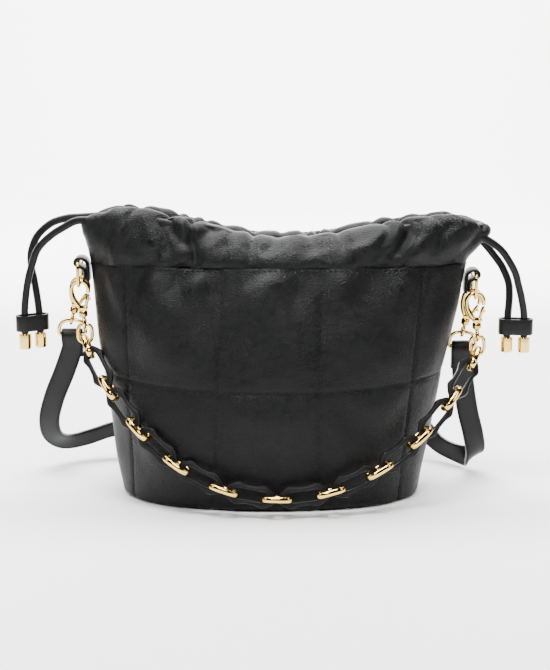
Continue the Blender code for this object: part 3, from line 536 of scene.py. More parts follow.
# Soft folds pressed into the front: x and z at each end, width and height, in mm. Negative is a hollow.
FRONT_FOLDS = (
    (-120, 166, -96, 118, 7, -2.2), (-112, 172, -80, 112, 9, 2.0), (-84, 168, -98, 128, 6, -1.9),
    (-70, 170, -84, 136, 8, 1.6), (-52, 172, -66, 140, 6, -2.0), (-44, 158, -86, 112, 9, 1.4),
    (-30, 166, -34, 142, 7, -1.2), (-14, 158, -52, 122, 8, -1.3), (6, 160, -20, 132, 11, 1.3),
    (34, 164, 12, 138, 7, -1.5), (52, 166, 36, 140, 8, 1.3), (74, 164, 58, 136, 8, -1.5),
    (92, 160, 84, 124, 9, 1.3), (116, 158, 104, 96, 10, -1.6), (124, 140, 110, 80, 8, 1.3),
    (-104, 104, -70, 84, 10, -1.1), (-30, 78, 26, 64, 12, 1.0), (40, 76, 88, 46, 12, -1.1),
    (-92, 60, -58, 22, 11, 1.1), (64, 120, 20, 96, 13, 1.2), (-8, 44, 30, 22, 12, -0.8),
    (96, 76, 84, 26, 9, -1.3), (-108, 84, -96, 30, 8, -1.2), (-74, 200, -56, 178, 4, -2.8),
    (-36, 191, -54, 175, 4, -2.2), (-66, 196, -54, 186, 5, 1.8), (52, 174, 86, 197, 5, 2.0),
    (70, 170, 100, 194, 4, -2.0), (18, 188, 8, 168, 5, 1.5), (-102, 190, -108, 160, 3, 1.7),
    (-92, 196, -86, 168, 5, -1.6), (120, 192, 110, 166, 5, -1.8), (34, 184, 38, 166, 4, -1.4),
)
BACK_FOLDS = (
    (-110, 168, -92, 112, 8, -2.0), (-80, 168, -70, 120, 8, 1.7), (-46, 168, -52, 126, 7, -1.6),
    (-20, 166, -8, 128, 9, 1.5), (14, 168, 20, 130, 7, -1.6), (48, 168, 40, 124, 9, 1.6),
    (82, 168, 90, 112, 8, -2.0), (112, 160, 104, 96, 8, 1.5), (-60, 96, 10, 70, 12, -1.1),
    (30, 92, 88, 52, 12, 1.2), (-90, 60, -40, 24, 12, 1.0),
)


def signed_power(values, exponent):
    return np.sign(values) * np.abs(values) ** exponent


def body_size(height):
    """Centre, half width and half depth of the body at each height."""
    share = np.clip(np.asarray(height, float) / SEAM_HEIGHT, 0, 1)
    ease, swell = share**1.15, 5 * MM * np.sin(pi * share)
    left = -BASE_LEFT - LEFT_FLARE * ease - 0.4 * swell
    right = BASE_RIGHT + RIGHT_FLARE * ease
    depth = BASE_DEPTH - SEAM_TAPER * share**2.2 + 0.8 * swell
    tuck = HEM_RADIUS * np.maximum(0, 1 - np.asarray(height) / HEM_RADIUS) ** 2
    return (left + right) / 2, (right - left) / 2 - tuck, depth - tuck


def body_loop(turns, height, inset=0.0):
    """Points round the body, one row for each height, moved inwards by inset."""
    centre, wide, deep = [np.atleast_1d(v)[:, None] for v in body_size(height)]
    x = wide * signed_power(np.cos(turns), 2 / BODY_POWER)[None, :]
    y = deep * signed_power(np.sin(turns), 2 / BODY_POWER)[None, :]
    out = unit(np.stack([signed_power(x / wide, 1.4) / wide, signed_power(y / deep, 1.4) / deep], axis=-1))
    z = np.broadcast_to(np.atleast_1d(height)[:, None], x.shape)
    return np.stack([centre + x - out[..., 0] * inset, y - out[..., 1] * inset, z], axis=-1)


def facing(grid):
    """Outward normals of a grid whose rows go up and whose columns go all the way round."""
    up = np.gradient(grid, axis=0)
    out = unit(np.cross(np.roll(grid, -1, axis=1) - np.roll(grid, 1, axis=1), up))
    middle = grid.mean(axis=(0, 1))
    return out if ((grid - middle) * out).sum() > 0 else -out


def rolling(x, z, seed, size, height):
    """Slow random waves that keep a surface from looking ironed."""
    rng = np.random.default_rng(seed)
    total = np.zeros_like(x)
    for _ in range(9):
        angle, stretch, shift = rng.uniform(0, 2 * pi), rng.uniform(0.6, 1.7), rng.uniform(0, 2 * pi)
        along = x * cos(angle) + z * sin(angle)
        total += np.sin(2 * pi * stretch * along / size + shift) / 9
    return total * height


def folded(x, z, folds):
    """Height of a set of soft folds at each place."""
    total = np.zeros_like(x)
    for x0, z0, x1, z1, width, height in folds:
        start = np.array((x0, z0)) * MM
        along = np.array((x1, z1)) * MM - start
        t = ((x - start[0]) * along[0] + (z - start[1]) * along[1]) / (along @ along)
        sag = 0.12 * np.sin(pi * np.clip(t, 0, 1)) * np.linalg.norm(along)
        across = ((x - start[0]) * along[1] - (z - start[1]) * along[0]) / np.linalg.norm(along)
        fade = smooth_step(t, -0.25, 0.15) * (1 - smooth_step(t, 0.7, 1.25))
        spread = width * MM * (0.75 + 0.6 * np.clip(t, 0, 1))
        total += height * MM * fade * np.exp(-(((across - sag) / spread) ** 2))
    return total


def gather_valleys(around):
    """Valleys between gathers: place round the rim from 0 to 1, width in mm, depth as a share, lean, and how
    far down from the rim it runs, as a share."""
    rng = np.random.default_rng(41)
    valleys, place = [], 0.006
    while place < 0.994:
        depth = rng.uniform(0.25, 1.0) ** 1.3
        valleys.append((place, rng.uniform(2.2, 5.6), depth, rng.uniform(-1.3, 1.3), rng.uniform(0.35, 1.25)))
        place += rng.uniform(8, 31) * MM / around
    return valleys


def gathers(place, rise, around, valleys):
    """0 on a ridge to 1 in a valley, for places from 0 to 1 round the rim and a rise from seam to rim."""
    total = np.zeros(np.broadcast(place, rise).shape)
    for spot, width, depth, lean, reach in valleys:
        away = (place - spot - lean * 9 * MM / around * (rise - 0.6) + 0.5) % 1 - 0.5
        spread = width * MM * (1.7 - 0.8 * np.clip(rise, 0, 1))
        fade = smooth_step(rise, 0.75 - reach, 1.15 - reach)
        total = np.maximum(total, depth * fade * np.exp(-np.abs(away * around / spread) ** 1.5))
    return total


RIM_SEAMS = (-31.5 * MM, 99 * MM)  # the patches' seams that carry on up the casing
RIM_DIP, LEFT_EAR, RIGHT_EAR = 181.5 * MM, 201 * MM, 196 * MM
EAR_PLACE = 0.85  # share of the half width at which the ears stand
SEAM_CENTRE, RIM_CENTRE = 2.5 * MM, 7 * MM
STITCH_LIFT = 0.25 * MM


def rim_height(share):
    """Top of the rim: it dips in the middle and stands up in an ear near each side."""
    ear = np.where(share < 0, LEFT_EAR, RIGHT_EAR)
    ease = 1 - np.cos(pi * np.minimum(np.abs(share) / EAR_PLACE, 1))
    return RIM_DIP + (ear - RIM_DIP) * ease / 2 - 45 * MM * np.maximum(0, np.abs(share) - EAR_PLACE)


# The rolled rim, from the seam up, over the top and down inside:
# rise, half width and half depth in mm, squareness, share of the gathers.
RIM_ROWS = (
    (0.004, 129.6, 35.0, 2.4, 0.42), (0.04, 129.9, 35.0, 2.4, 0.45), (0.12, 130.9, 35.2, 2.5, 0.52),
    (0.25, 132.8, 34.4, 2.7, 0.70), (0.45, 135.6, 32.0, 3.0, 0.85), (0.65, 138.8, 28.6, 3.3, 0.95),
    (0.82, 140.6, 25.4, 3.6, 1.0),
    (0.93, 139.6, 22.2, 3.8, 1.0), (0.99, 136.6, 18.6, 3.9, 0.95), (1.00, 132.6, 15.6, 3.9, 0.85),
    (0.97, 129.0, 12.8, 3.8, 0.75), (0.88, 126.6, 10.8, 3.6, 0.6), (0.70, 125.6, 10.0, 3.4, 0.5),
    (0.45, 125.2, 10.2, 3.2, 0.4), (0.20, 124.8, 11.0, 3.0, 0.3), (0.04, 124.0, 12.0, 2.8, 0.2),
    (0.02, 126.0, 22.0, 2.5, 0.1), (0.006, 128.4, 33.4, 2.4, 0.1),
)


def rim_rings(columns, rows):
    """Closed grid of the rim, how deep in a gather each point lies, and the lines of its seams."""
    turns = np.linspace(0, 2 * pi, columns, endpoint=False)
    share = signed_power(np.cos(turns), 2 / BODY_POWER)
    side = np.sign(np.sin(turns))
    table = np.array(RIM_ROWS)
    knots = np.linspace(0, 1, len(table))
    spots = np.linspace(0, 1, rows)
    smooth = through(np.c_[table, knots], 1e-3)
    picked = np.array([np.interp(spots, smooth[:, 5], smooth[:, k]) for k in range(5)]).T
    top = rim_height(share) - np.where(side > 0, 1.5 * MM, 0.0)
    grid = np.zeros((rows, columns, 3))
    for i, (rise, wide, deep, squareness, _) in enumerate(picked):
        centre = SEAM_CENTRE + (RIM_CENTRE - SEAM_CENTRE) * min(rise * 1.3, 1)
        level = SEAM_HEIGHT + rise * (top - SEAM_HEIGHT)
        depth = deep * MM * (1 - np.abs(share) ** squareness) ** (1 / squareness)
        grid[i] = np.c_[centre + wide * MM * share, side * depth, level]
    edge = grid[int(rows * 0.35)]
    steps = np.linalg.norm(np.roll(edge, -1, axis=0) - edge, axis=1)
    around = steps.sum()
    place = np.r_[0, np.cumsum(steps)[:-1]] / around
    valley = gathers(place[None, :], picked[:, :1], around, gather_valleys(around))
    sink = valley * picked[:, 4:5]
    out = facing(grid)
    depth = settings().leather.pleat_depth
    grid += out * (-sink * depth + 0.3 * depth * picked[:, 4:5])[..., None]
    crown = smooth_step(picked[:, :1], 0.55, 1.0)
    grid[..., 2] -= sink * crown * 0.32 * depth
    slope = rolling(grid[..., 0] * 1.4, grid[..., 2], 5, 34 * MM, 0.9 * MM)
    slope += rolling(grid[..., 0], grid[..., 2], 8, 13 * MM, 0.45 * MM)
    front = folded(grid[..., 0], grid[..., 2], FRONT_FOLDS) * (side < 0)
    back = folded(grid[..., 0], grid[..., 2], BACK_FOLDS) * (side > 0)
    outer = (np.arange(rows) < rows * 0.45)[:, None]
    wrong_half = (side > 0, side < 0)  # for a seam in front and for one behind
    seams = [int(np.argmin(np.abs(edge[:, 0] - x) + wrong)) for x in RIM_SEAMS for wrong in wrong_half]
    away = np.abs((place - place[seams][:, None] + 0.5) % 1 - 0.5) * around
    groove = np.exp(-((away / (1.4 * MM)) ** 2)).sum(axis=0)
    grid += out * (slope + (front + back - 0.8 * MM * groove) * outer)[..., None]
    lifted = (grid + out * STITCH_LIFT)[1 : int(rows * 0.42)]
    return grid, sink, [lifted[:, column] for column in seams]


def seam_places(points, seams):
    """Arc length of each seam in each row of a half outline, and the arc length of every point."""
    steps = np.linalg.norm(np.diff(points, axis=1), axis=2)
    arc = np.concatenate([np.zeros((len(points), 1)), np.cumsum(steps, axis=1)], axis=1)
    rise = np.clip(points[:, 0, 2] / SEAM_HEIGHT, 0, 1)
    found = []
    for low, high in seams:
        x = low + (high - low) * rise
        order = slice(None, None, -1) if points[0, 0, 0] > points[0, -1, 0] else slice(None)
        found.append([np.interp(x[i], points[i, order, 0], arc[i, order]) for i in range(len(points))])
    return arc, np.array(found)


def middle_seam(x):
    return 82 * MM + 6 * MM * (x / (120 * MM)) ** 2


def half_body(front, columns=240, rows=110):
    """Outer grid of one panel with its seams, pillows and folds, and what the stitches need."""
    look = settings().leather
    turns = (-1 if front else 1) * np.linspace(0, pi, columns)
    low = np.array([0, 0.5, 1.1, 1.9, 3.0]) * MM
    heights = np.r_[low, np.linspace(3 * MM, SEAM_HEIGHT, rows - len(low) + 1)[1:]]
    grid = body_loop(turns, heights)
    out = unit(np.cross(np.gradient(grid, axis=1), np.gradient(grid, axis=0)))
    if (out[rows // 2, columns // 2, 1] > 0) == front:
        out = -out
    arc, seams = seam_places(grid, FRONT_SEAMS if front else BACK_SEAMS)
    across = np.abs(arc[None] - seams[..., None]).min(axis=0)
    ends = np.minimum(arc, arc[:, -1:] - arc)
    across = np.minimum(across, ends)
    x, z = grid[..., 0], grid[..., 2]
    level = np.minimum(np.abs(z - middle_seam(x)), np.minimum(1.6 * np.abs(z - SEAM_HEIGHT), z + 4 * MM))
    soft = 11 * MM
    puff = (1 - np.exp(-((across / soft) ** 2))) * (1 - np.exp(-((level / soft) ** 2)))
    groove = np.maximum(np.exp(-((across / (1.5 * MM)) ** 2)), np.exp(-((level / (1.5 * MM)) ** 2)))
    groove *= 1 - 0.6 * smooth_step(z, SEAM_HEIGHT - 4 * MM, SEAM_HEIGHT - 1 * MM)
    place = arc / arc[:, -1:]
    near_rim = np.exp(-(SEAM_HEIGHT - z) / (17 * MM))
    around = float(arc[-1, -1]) * 2
    spots = 1 - place / 2 if front else place / 2
    sink = gathers(spots, np.zeros_like(z), around, gather_valleys(around))
    folds = folded(x, z, FRONT_FOLDS if front else BACK_FOLDS)
    calm = smooth_step(z, 2 * MM, 16 * MM)
    slow = rolling(arc, z, 3 if front else 4, 62 * MM, 1.5 * MM)
    height = look.pillow * puff - look.seam_depth * groove - 1.6 * MM * sink * near_rim
    grid += out * (height + (1.5 * folds + slow) * calm * (0.35 + 0.65 * puff))[..., None]
    # Painted highlight on fold ridges and painted shade in fold hollows and seam grooves.
    relief = np.clip(0.08 * (folds / MM) - 0.1 * groove, -0.3, 0.3)
    return grid, out, arc, seams, relief, heights


def add_relief_shading(piece, values):
    """How far each point stands out, for the material to paint a highlight on the ridges and shade in the
    hollows, and to make the ridges glossier.
    """
    layer = piece.data.attributes.new("relief", "FLOAT", "POINT")
    layer.data.foreach_set("value", np.asarray(values, np.float32).ravel())


def on_grid(grid, out, row, column):
    """Points of a grid at fractional rows and columns, lifted off it for a stitch."""
    row, column = np.asarray(row, float), np.asarray(column, float)
    r0 = np.clip(row.astype(int), 0, grid.shape[0] - 2)
    c0 = np.clip(column.astype(int), 0, grid.shape[1] - 2)
    fr, fc = (row - r0)[:, None], (column - c0)[:, None]
    found = 0
    for values, scale in ((grid, 1), (out, STITCH_LIFT)):
        low = values[r0, c0] * (1 - fc) + values[r0, c0 + 1] * fc
        high = values[r0 + 1, c0] * (1 - fc) + values[r0 + 1, c0 + 1] * fc
        found = found + scale * (low * (1 - fr) + high * fr)
    return found


def panel_stitches(grid, out, arc, seams, heights):
    """Lines along every seam of one panel."""
    rows, columns = arc.shape
    numbers = np.arange(columns)
    lines = []
    for seam in seams:
        column = [np.interp(seam[i], arc[i], numbers) for i in range(4, rows)]
        lines.append(on_grid(grid, out, np.arange(4, rows), column))
    across = np.arange(2, columns - 2)
    for level in (middle_seam(grid[rows // 2, across, 0]), np.full(len(across), SEAM_HEIGHT - 1.6 * MM)):
        row = np.interp(level, heights, np.arange(rows))
        lines.append(on_grid(grid, out, row, across))
    return lines


class BAG_OT_leather_body(bpy.types.Operator):
    """Front and back panels of quilted leather patches"""

    bl_idname = "bag.leather_body"
    bl_label = "Leather body"

    def execute(self, context):
        lines = []
        for front, word in ((True, "front"), (False, "back")):
            grid, out, arc, seams, relief, heights = half_body(front)
            inside = (grid - out * PANEL_THICKNESS)[::-6]
            inside[-1] = grid[0] - out[0] * PANEL_THICKNESS
            rings = np.concatenate([grid, inside], axis=0).transpose(1, 0, 2)
            y = rings[..., 1]
            rings[..., 1] = np.minimum(y, -0.1 * MM) if front else np.maximum(y, 0.1 * MM)
            shape = capped_grid(rings)
            piece = make_piece(word + "_panel_leather", shape, BODY, [word + "_panel"], crease=70)
            shown = np.concatenate([relief, relief[::-6] * 0], axis=0)
            add_relief_shading(piece, shown.T)
            lines += panel_stitches(grid, out, arc, seams, heights)
        panel_threads("body_stitches", lines)
        return {"FINISHED"}


class BAG_OT_gathered_rim(bpy.types.Operator):
    """Rolled rim casing, gathered by the drawcords, with the seams of its patches"""

    bl_idname = "bag.gathered_rim"
    bl_label = "Gathered rim"

    def execute(self, context):
        grid, sink, lines = rim_rings(columns=560, rows=84)
        replaced = ["rim_casing_front", "rim_casing_back"]
        piece = make_piece("rim_casing_leather", looped_grid(grid), BODY, replaced, crease=70)
        # Painted shade in the gather valleys and painted highlight on the ridges between them.
        add_relief_shading(piece, 0.12 - 0.34 * sink)
        panel_threads("rim_stitches", lines)
        return {"FINISHED"}


class BAG_OT_lining(bpy.types.Operator):
    """Soft twill lining, the base panel and the board between them"""

    bl_idname = "bag.lining"
    bl_label = "Lining and base"

    def execute(self, context):
        turns = np.linspace(0, 2 * pi, 160, endpoint=False)
        heights = np.linspace(5.4 * MM, 162.4 * MM, 40)
        wall = body_loop(turns, heights, 6.2 * MM)
        out = facing(wall)
        slack = rolling(wall[..., 0] * 1.2 + wall[..., 1], wall[..., 2], 11, 40 * MM, 1.6 * MM)
        calm = smooth_step(heights, 6 * MM, 20 * MM)[:, None]
        wall = wall + out * (slack * calm)[..., None]
        inner = (wall - out * 0.7 * MM)[::-1]
        inner[-1, :, 2] = 6.2 * MM
        make_piece("twill_lining", capped_grid(np.concatenate([wall, inner], axis=0)), LINING, ["lining"])
        for name, finish in (("base_panel", "pebbled_cow_leather"), ("base_board", "bonded_fibre_board")):
            FRAME["nodes"][name].data.materials.clear()
            FRAME["nodes"][name].data.materials.append(finish_of(finish))
        return {"FINISHED"}


# Side hardware and clasps ---------------------------------------------------------------------------------

# Ring bar down to the eye's centre, and to where a ring hangs in it.
EYE_DROP, EYE_SEAT = 26.8 * MM, 27.7 * MM
CLASPS = ("chain_clasp_left", "strap_clasp_left", "chain_clasp_right", "strap_clasp_right")


def oval(half_x, half_y, squareness, count):
    turns = 2 * pi * (np.arange(count) + 0.5) / count
    bend = 2 / squareness
    return np.c_[half_x * signed_power(np.cos(turns), bend), half_y * signed_power(np.sin(turns), bend)]


def clasp_axes(name):
    """Ring bar point and the clasp's own axes: towards its hook's back, along the ring bar, and up."""
    joint = JOINTS[name + "_swivel"]
    up = unit(joint["axis"])
    hook_side = unit(np.cross((0.0, 1.0, 0.0), up)) * -1
    return np.array(joint["pos_m"]), np.array([hook_side, np.cross(up, hook_side), up])


def eye_point(name):
    bar, axes = clasp_axes(name)
    return bar - axes[2] * EYE_SEAT


def ring_loop(points, diameter, sides=14):
    """A closed ring of round wire along a loop of points."""
    return looped_grid(swept(points, round_section(diameter, sides), closed=True))


def hook_parts():
    """Hook, swivel barrel, cheeks and rivet in the clasp's own frame, where the ring bar is the origin."""
    wire, radius, top = settings().metal.wire, 5.8, -2.8
    route = [(0.7, 0, -18.2), (1.5, 0, -15.6), (3.6, 0, -12.2), (5.4, 0, -7.6)]
    route += [(radius * cos(t), 0, top + radius * sin(t)) for t in np.linspace(0.0, pi, 9)]
    route.append((-radius, 0, top - 3.2))
    path = through(np.array(route) * MM, 0.55 * MM)
    rings = swept(path, round_section(wire, 16), sides=(0, 1, 0))
    along = np.linspace(0, 1, len(path))
    size = 1 + 0.16 * np.exp(-(((along - 0.16) / 0.16) ** 2)) - 0.22 * smooth_step(along, 0.93, 1.0)
    rings = path[:, None] + (rings - path[:, None]) * size[:, None, None]
    parts = [capped_grid(rings)]
    outline = [(0, -19.0), (1.9, -19.0), (1.9, -22.1), (2.7, -22.1), (3.15, -21.7), (3.15, -21.1)]
    outline += [(2.85, -20.9), (2.85, -20.5), (3.15, -20.3), (3.15, -18.7), (2.9, -18.2), (2.1, -17.6)]
    outline.append((0, -17.2))
    parts.append(turned(np.array(outline) * MM, 36))
    for y in (-1.62, 1.62):
        plate = oval(3.4, 1.75, 2.3, 32) + (-0.5, -16.3)
        rings = [[(x * s, y + h, (z + 16.3) * s - 16.3) for x, z in plate]
                 for s, h in ((0.9, -0.34), (1, -0.2), (1, 0.2), (0.9, 0.34))]
        parts.append(capped_grid(np.array(rings) * MM))
    dome = [(0, -2.5), (0.7, -2.4), (1.15, -1.95), (1.15, 1.95), (0.7, 2.4), (0, 2.5)]
    points, faces = turned(np.array(dome) * MM, 20)
    points = points[:, [0, 2, 1]] + np.array((-2.2, 0, -15.95)) * MM
    parts.append((points, faces))
    return gathered(parts)


def gate_parts():
    """Sprung lever with its thumb stud; its pivot is the origin."""
    nose = np.array((-3.4, 0, 9.3)) * MM
    along = np.linspace(0, 1, 14)
    path = along[:, None] * nose
    rings = swept(path, round_section(2.5 * MM, 14), sides=(0, 1, 0))
    size = 0.92 + 0.12 * np.exp(-(((along - 0.55) / 0.2) ** 2)) - 0.3 * smooth_step(along, 0.9, 1)
    rings = path[:, None] + (rings - path[:, None]) * size[:, None, None]
    stud = [(0, 0), (0.7, 0.0), (0.75, 1.2), (1.0, 1.6), (0.9, 2.1), (0, 2.3)]
    lean = [(0.35, 0, 0.94), (0, 1, 0), (-0.94, 0, 0.35)]
    stud = placed(turned(np.array(stud) * MM, 16), nose * 0.55 + (-0.6 * MM, 0, 0), lean)
    return gathered([capped_grid(rings), stud])


def eye_parts():
    """Round swivel eye and its riveted post; the eye's centre is the origin and +Z is the swivel axis."""
    turns = np.linspace(0, 2 * pi, 48, endpoint=False)
    loop = np.c_[0 * turns, 3.5 * MM * np.cos(turns), 3.5 * MM * np.sin(turns)]
    eye = ring_loop(loop, 2.3 * MM)
    post = [(0, 3.9), (1.7, 3.9), (1.7, 4.6), (1.35, 4.8), (1.35, 6.4), (1.7, 6.5), (1.7, 7.0), (0, 7.2)]
    return gathered([eye, turned(np.array(post) * MM, 20)])


RING_HALF_HEIGHT = 7.95 * MM
# A side tab folded over its ring's upper bar: mm outwards and up from that bar.
TAB_ROUTE = (
    (-6.4, -13), (-6.3, -8), (-6.1, -3), (-5.0, 0.6), (-2.8, 2.4), (0, 2.75), (2.2, 1.6), (2.8, -0.4),
    (1.6, -2.4), (-0.8, -3.3), (-2.8, -4.4), (-4.0, -6.6), (-4.1, -12),
)


class BAG_OT_side_fittings(bpy.types.Operator):
    """Rectangular side rings and the folded leather tabs that hold them"""

    bl_idname = "bag.side_fittings"
    bl_label = "Side rings and tabs"

    def execute(self, context):
        for word, side in (("left", -1), ("right", 1)):
            bar = np.array(JOINTS[f"chain_clasp_{word}_swivel"]["pos_m"]) * (1, 0, 1)
            loop = oval(11.7 * MM, RING_HALF_HEIGHT, 7, 88)
            points = np.c_[np.full(len(loop), bar[0]), loop[:, 0], bar[2] + RING_HALF_HEIGHT + loop[:, 1]]
            ring = ring_loop(points, 2.6 * MM, 16)
            make_piece(f"side_ring_{word}_gold", ring, GOLD, ["side_ring_" + word])
            upper = bar + (0, 0, 2 * RING_HALF_HEIGHT)
            path = np.array([upper + np.array((side * x, 0, z)) * MM for x, z in TAB_ROUTE])
            rings = swept(through(path, 0.8 * MM), rounded_section(15 * MM, 1.9 * MM), sides=(0, 1, 0))
            make_piece(f"side_tab_{word}_leather", capped_grid(rings), TRIM, ["side_tab_" + word])
        return {"FINISHED"}


class BAG_OT_clasps(bpy.types.Operator):
    """Four swivel clasps, each a hook, a sprung gate and a swivel eye"""

    bl_idname = "bag.clasps"
    bl_label = "Swivel clasps"

    def execute(self, context):
        hook, gate, eye = hook_parts(), gate_parts(), eye_parts()
        for name in CLASPS:
            bar, axes = clasp_axes(name)
            pivot = np.array(JOINTS[name + "_gate_opening"]["pos_m"])
            make_piece(name + "_hook", placed(hook, bar, axes), GOLD, [name + "_body"], name)
            make_piece(name + "_lever", placed(gate, pivot, axes), GOLD, [name + "_gate"], name + "_gate")
            low = bar - axes[2] * EYE_DROP
            make_piece(name + "_swivel_eye", placed(eye, low, axes), GOLD, [name + "_eye"])
        return {"FINISHED"}


# Chain handle ---------------------------------------------------------------------------------------------


def lie_of(name):
    """Centre of a CAD node and its own axes: along it, across it and through its thinnest way."""
    co = np.array([v.co for v in FRAME["nodes"][name].data.vertices], float)
    axes = np.linalg.svd(co - co.mean(0), full_matrices=False)[2]
    local = co @ axes.T
    low, high = local.min(0), local.max(0)
    order = np.argsort(low - high)
    axes, middle = axes[order], ((low + high) / 2)[order]
    centre = middle @ axes
    if axes[2][1] > 0:
        axes[2] *= -1
    if axes[0][0] < 0:
        axes[0] *= -1
    axes[1] = np.cross(axes[2], axes[0])
    return centre, axes, (high - low)[order]


def gold_link_parts():
    """Rounded oblong band, polished, standing on its edge: the loop lies in the local XY plane."""
    loop = oval(9.4 * MM, 5.2 * MM, 3.0, 80)
    path = np.c_[loop, np.zeros(len(loop))]
    a, b = settings().metal.link_band / 2, 1.1 * MM
    turns = np.linspace(0, 2 * pi, 16, endpoint=False)
    section = np.c_[a * signed_power(np.cos(turns), 0.85), b * signed_power(np.sin(turns), 0.9)]
    rings = swept(path, section, sides=(0, 0, 1), closed=True)
    return looped_grid(rings)


# Across a leather link's band from its outer edge to its window: place from 0 to 1, then half height in mm.
LINK_BAND = (
    (0.02, 0.0), (0.0, 0.35), (0.0, 0.9), (0.04, 1.25), (0.10, 1.40), (0.20, 1.46), (0.26, 1.40),
    (0.30, 1.20), (0.34, 1.40), (0.42, 1.50), (0.60, 1.52), (0.76, 1.46), (0.88, 1.36), (0.95, 1.2),
    (1.0, 0.85), (1.0, 0.35), (0.98, 0.0),
)


# A leather link's width along it: place from its middle to its end, then share of the full width.
LINK_OUTLINE = (
    (0, 0.80), (0.18, 0.81), (0.34, 0.88), (0.46, 0.98), (0.56, 1.0), (0.66, 0.95), (0.78, 0.82),
    (0.90, 0.74), (1.0, 0.72),
)


def leather_link_parts(length, width):
    """Two layers of leather glued back to back: flared corners, drawn-in sides and a long window."""
    count = 112
    half_x, half_y = length / 2, width / 2
    outer = oval(half_x, half_y, 4.0, count)
    shares, widths = zip(*LINK_OUTLINE)
    outer[:, 1] *= np.interp(np.abs(outer[:, 0]) / half_x, shares, widths)
    inner = oval(half_x - 5 * MM, half_y - 4.4 * MM, 4.5, count)
    band = list(LINK_BAND) + [(t, -h) for t, h in LINK_BAND[-2:0:-1]]
    rings = [np.c_[outer + (inner - outer) * t, np.full(count, h * MM)] for t, h in band]
    places = np.array(band)[:, 0]
    ahead = np.roll(places, -1)
    painted = (np.maximum(places, ahead) < 0.045) | (np.minimum(places, ahead) > 0.94)
    return looped_grid(rings), np.repeat(painted.astype(int), count)


class BAG_OT_chain_handle(bpy.types.Operator):
    """Chain of gold links and leather links with a ring at each end"""

    bl_idname = "bag.chain_handle"
    bl_label = "Chain handle"

    def execute(self, context):
        gold = gold_link_parts()
        for word in ("left", "right"):
            centre = eye_point(f"chain_clasp_{word}") - (0, 0, 6.4 * MM)
            loop = oval(4.9 * MM, 6.4 * MM, 2.9, 56)
            path = np.c_[centre[0] + loop[:, 0], np.full(len(loop), centre[1]), centre[2] + loop[:, 1]]
            ring = ring_loop(path, 2.5 * MM)
            make_piece(f"end_ring_{word}_gold", ring, GOLD, ["chain_end_ring_" + word], "chain")
        for name in sorted(n for n in FRAME["nodes"] if n.startswith("gold_link")):
            centre, axes, _ = lie_of(name)
            make_piece(name + "_band", placed(gold, centre, axes), GOLD, [name], "chain")
        for name in sorted(n for n in FRAME["nodes"] if n.startswith("leather_link")):
            centre, axes, size = lie_of(name)
            link, painted = leather_link_parts(size[0], size[1])
            make_piece(name + "_plate", placed(link, centre, axes), PAINTED, [name], name, painted)
        return {"FINISHED"}


# Crossbody strap ------------------------------------------------------------------------------------------

# Past its fold round each D-ring: mm from that ring's bar, then which way the strap's width points.
LEFT_ROUTE = (
    (-1, 0, -12, 1, 0, 0), (-7, 3, -28, 0.95, 0, -0.25), (-15, 8, -47, 0.9, 0, -0.3),
    (-20.5, 17, -66, 0.95, 0, 0), (-20, 31, -82, 0.9, -0.2, 0.4), (-12, 47, -91, 0.4, -0.4, 0.8),
    (2, 58, -91, 0, -0.5, 0.85),
    (19, 65, -87, 0, -0.5, 0.85), (36, 69, -85, 0, -0.4, 0.9),
)
RIGHT_ROUTE = (
    (0.5, 0, -12, 1, 0, 0), (2, 3, -26, 0.95, 0, 0.15), (6, 7, -48, 0.95, 0, 0.3),
    (11, 12, -67, 0.95, 0, 0.3),
    (14, 21, -82.5, 0.9, 0.1, 0.4), (11.5, 33, -90, 0.6, -0.3, 0.7), (2, 45, -90.5, 0.3, -0.5, 0.8),
    (-9, 56, -87, 0.3, -0.4, 0.85), (-18, 64, -79, 0.5, -0.2, 0.8), (-23, 70, -74, 0.4, 0, 0.9),
)
# The stowed length behind the bag, on edge: mm from the origin.
STOWED_ROUTE = (
    (-78, 76, 13), (-55, 77, 8.6), (0, 77, 8.2), (60, 77, 8.2), (84, 79, 8.2), (91, 86, 8.2), (84, 93, 8.2),
    (60, 95, 8.2), (0, 95, 8.2), (-60, 95, 8.2), (-84, 97, 8.2), (-91, 104, 8.2), (-84, 111, 8.2),
    (-60, 113, 8.2), (0, 113, 8.2), (50, 112, 8.2), (80, 109, 10), (99, 101, 16), (109, 89, 25),
)


def d_ring_bar(word):
    return eye_point("strap_clasp_" + word) - (0, 0, 10.8 * MM)


def strap_fold(bar):
    """The strap's end goes up behind the D-ring's bar, over it and down again in front."""
    turn = 3.35
    fold = [(0, 2.4, -16), (0, 2.4, -9), (0, turn, -1.0)]
    fold += [(0, turn * cos(t), turn * sin(t)) for t in np.linspace(0.35, pi - 0.35, 5)]
    fold += [(0, -turn, -1.0), (0, -0.9, -7.5)]
    return [np.r_[bar + np.array(p) * MM, 1, 0, 0] for p in fold]


def strap_route():
    """The strap's whole route with its width direction, from one fold to the other."""
    halves = []
    for word, local in (("left", LEFT_ROUTE), ("right", RIGHT_ROUTE)):
        bar = d_ring_bar(word)
        halves.append(strap_fold(bar) + [np.r_[bar + np.array(p[:3]) * MM, p[3:]] for p in local])
    stowed = [np.r_[np.array(p) * MM, 0, 0, 1] for p in STOWED_ROUTE]
    return through(halves[0] + stowed + halves[1][::-1], 1.6 * MM)


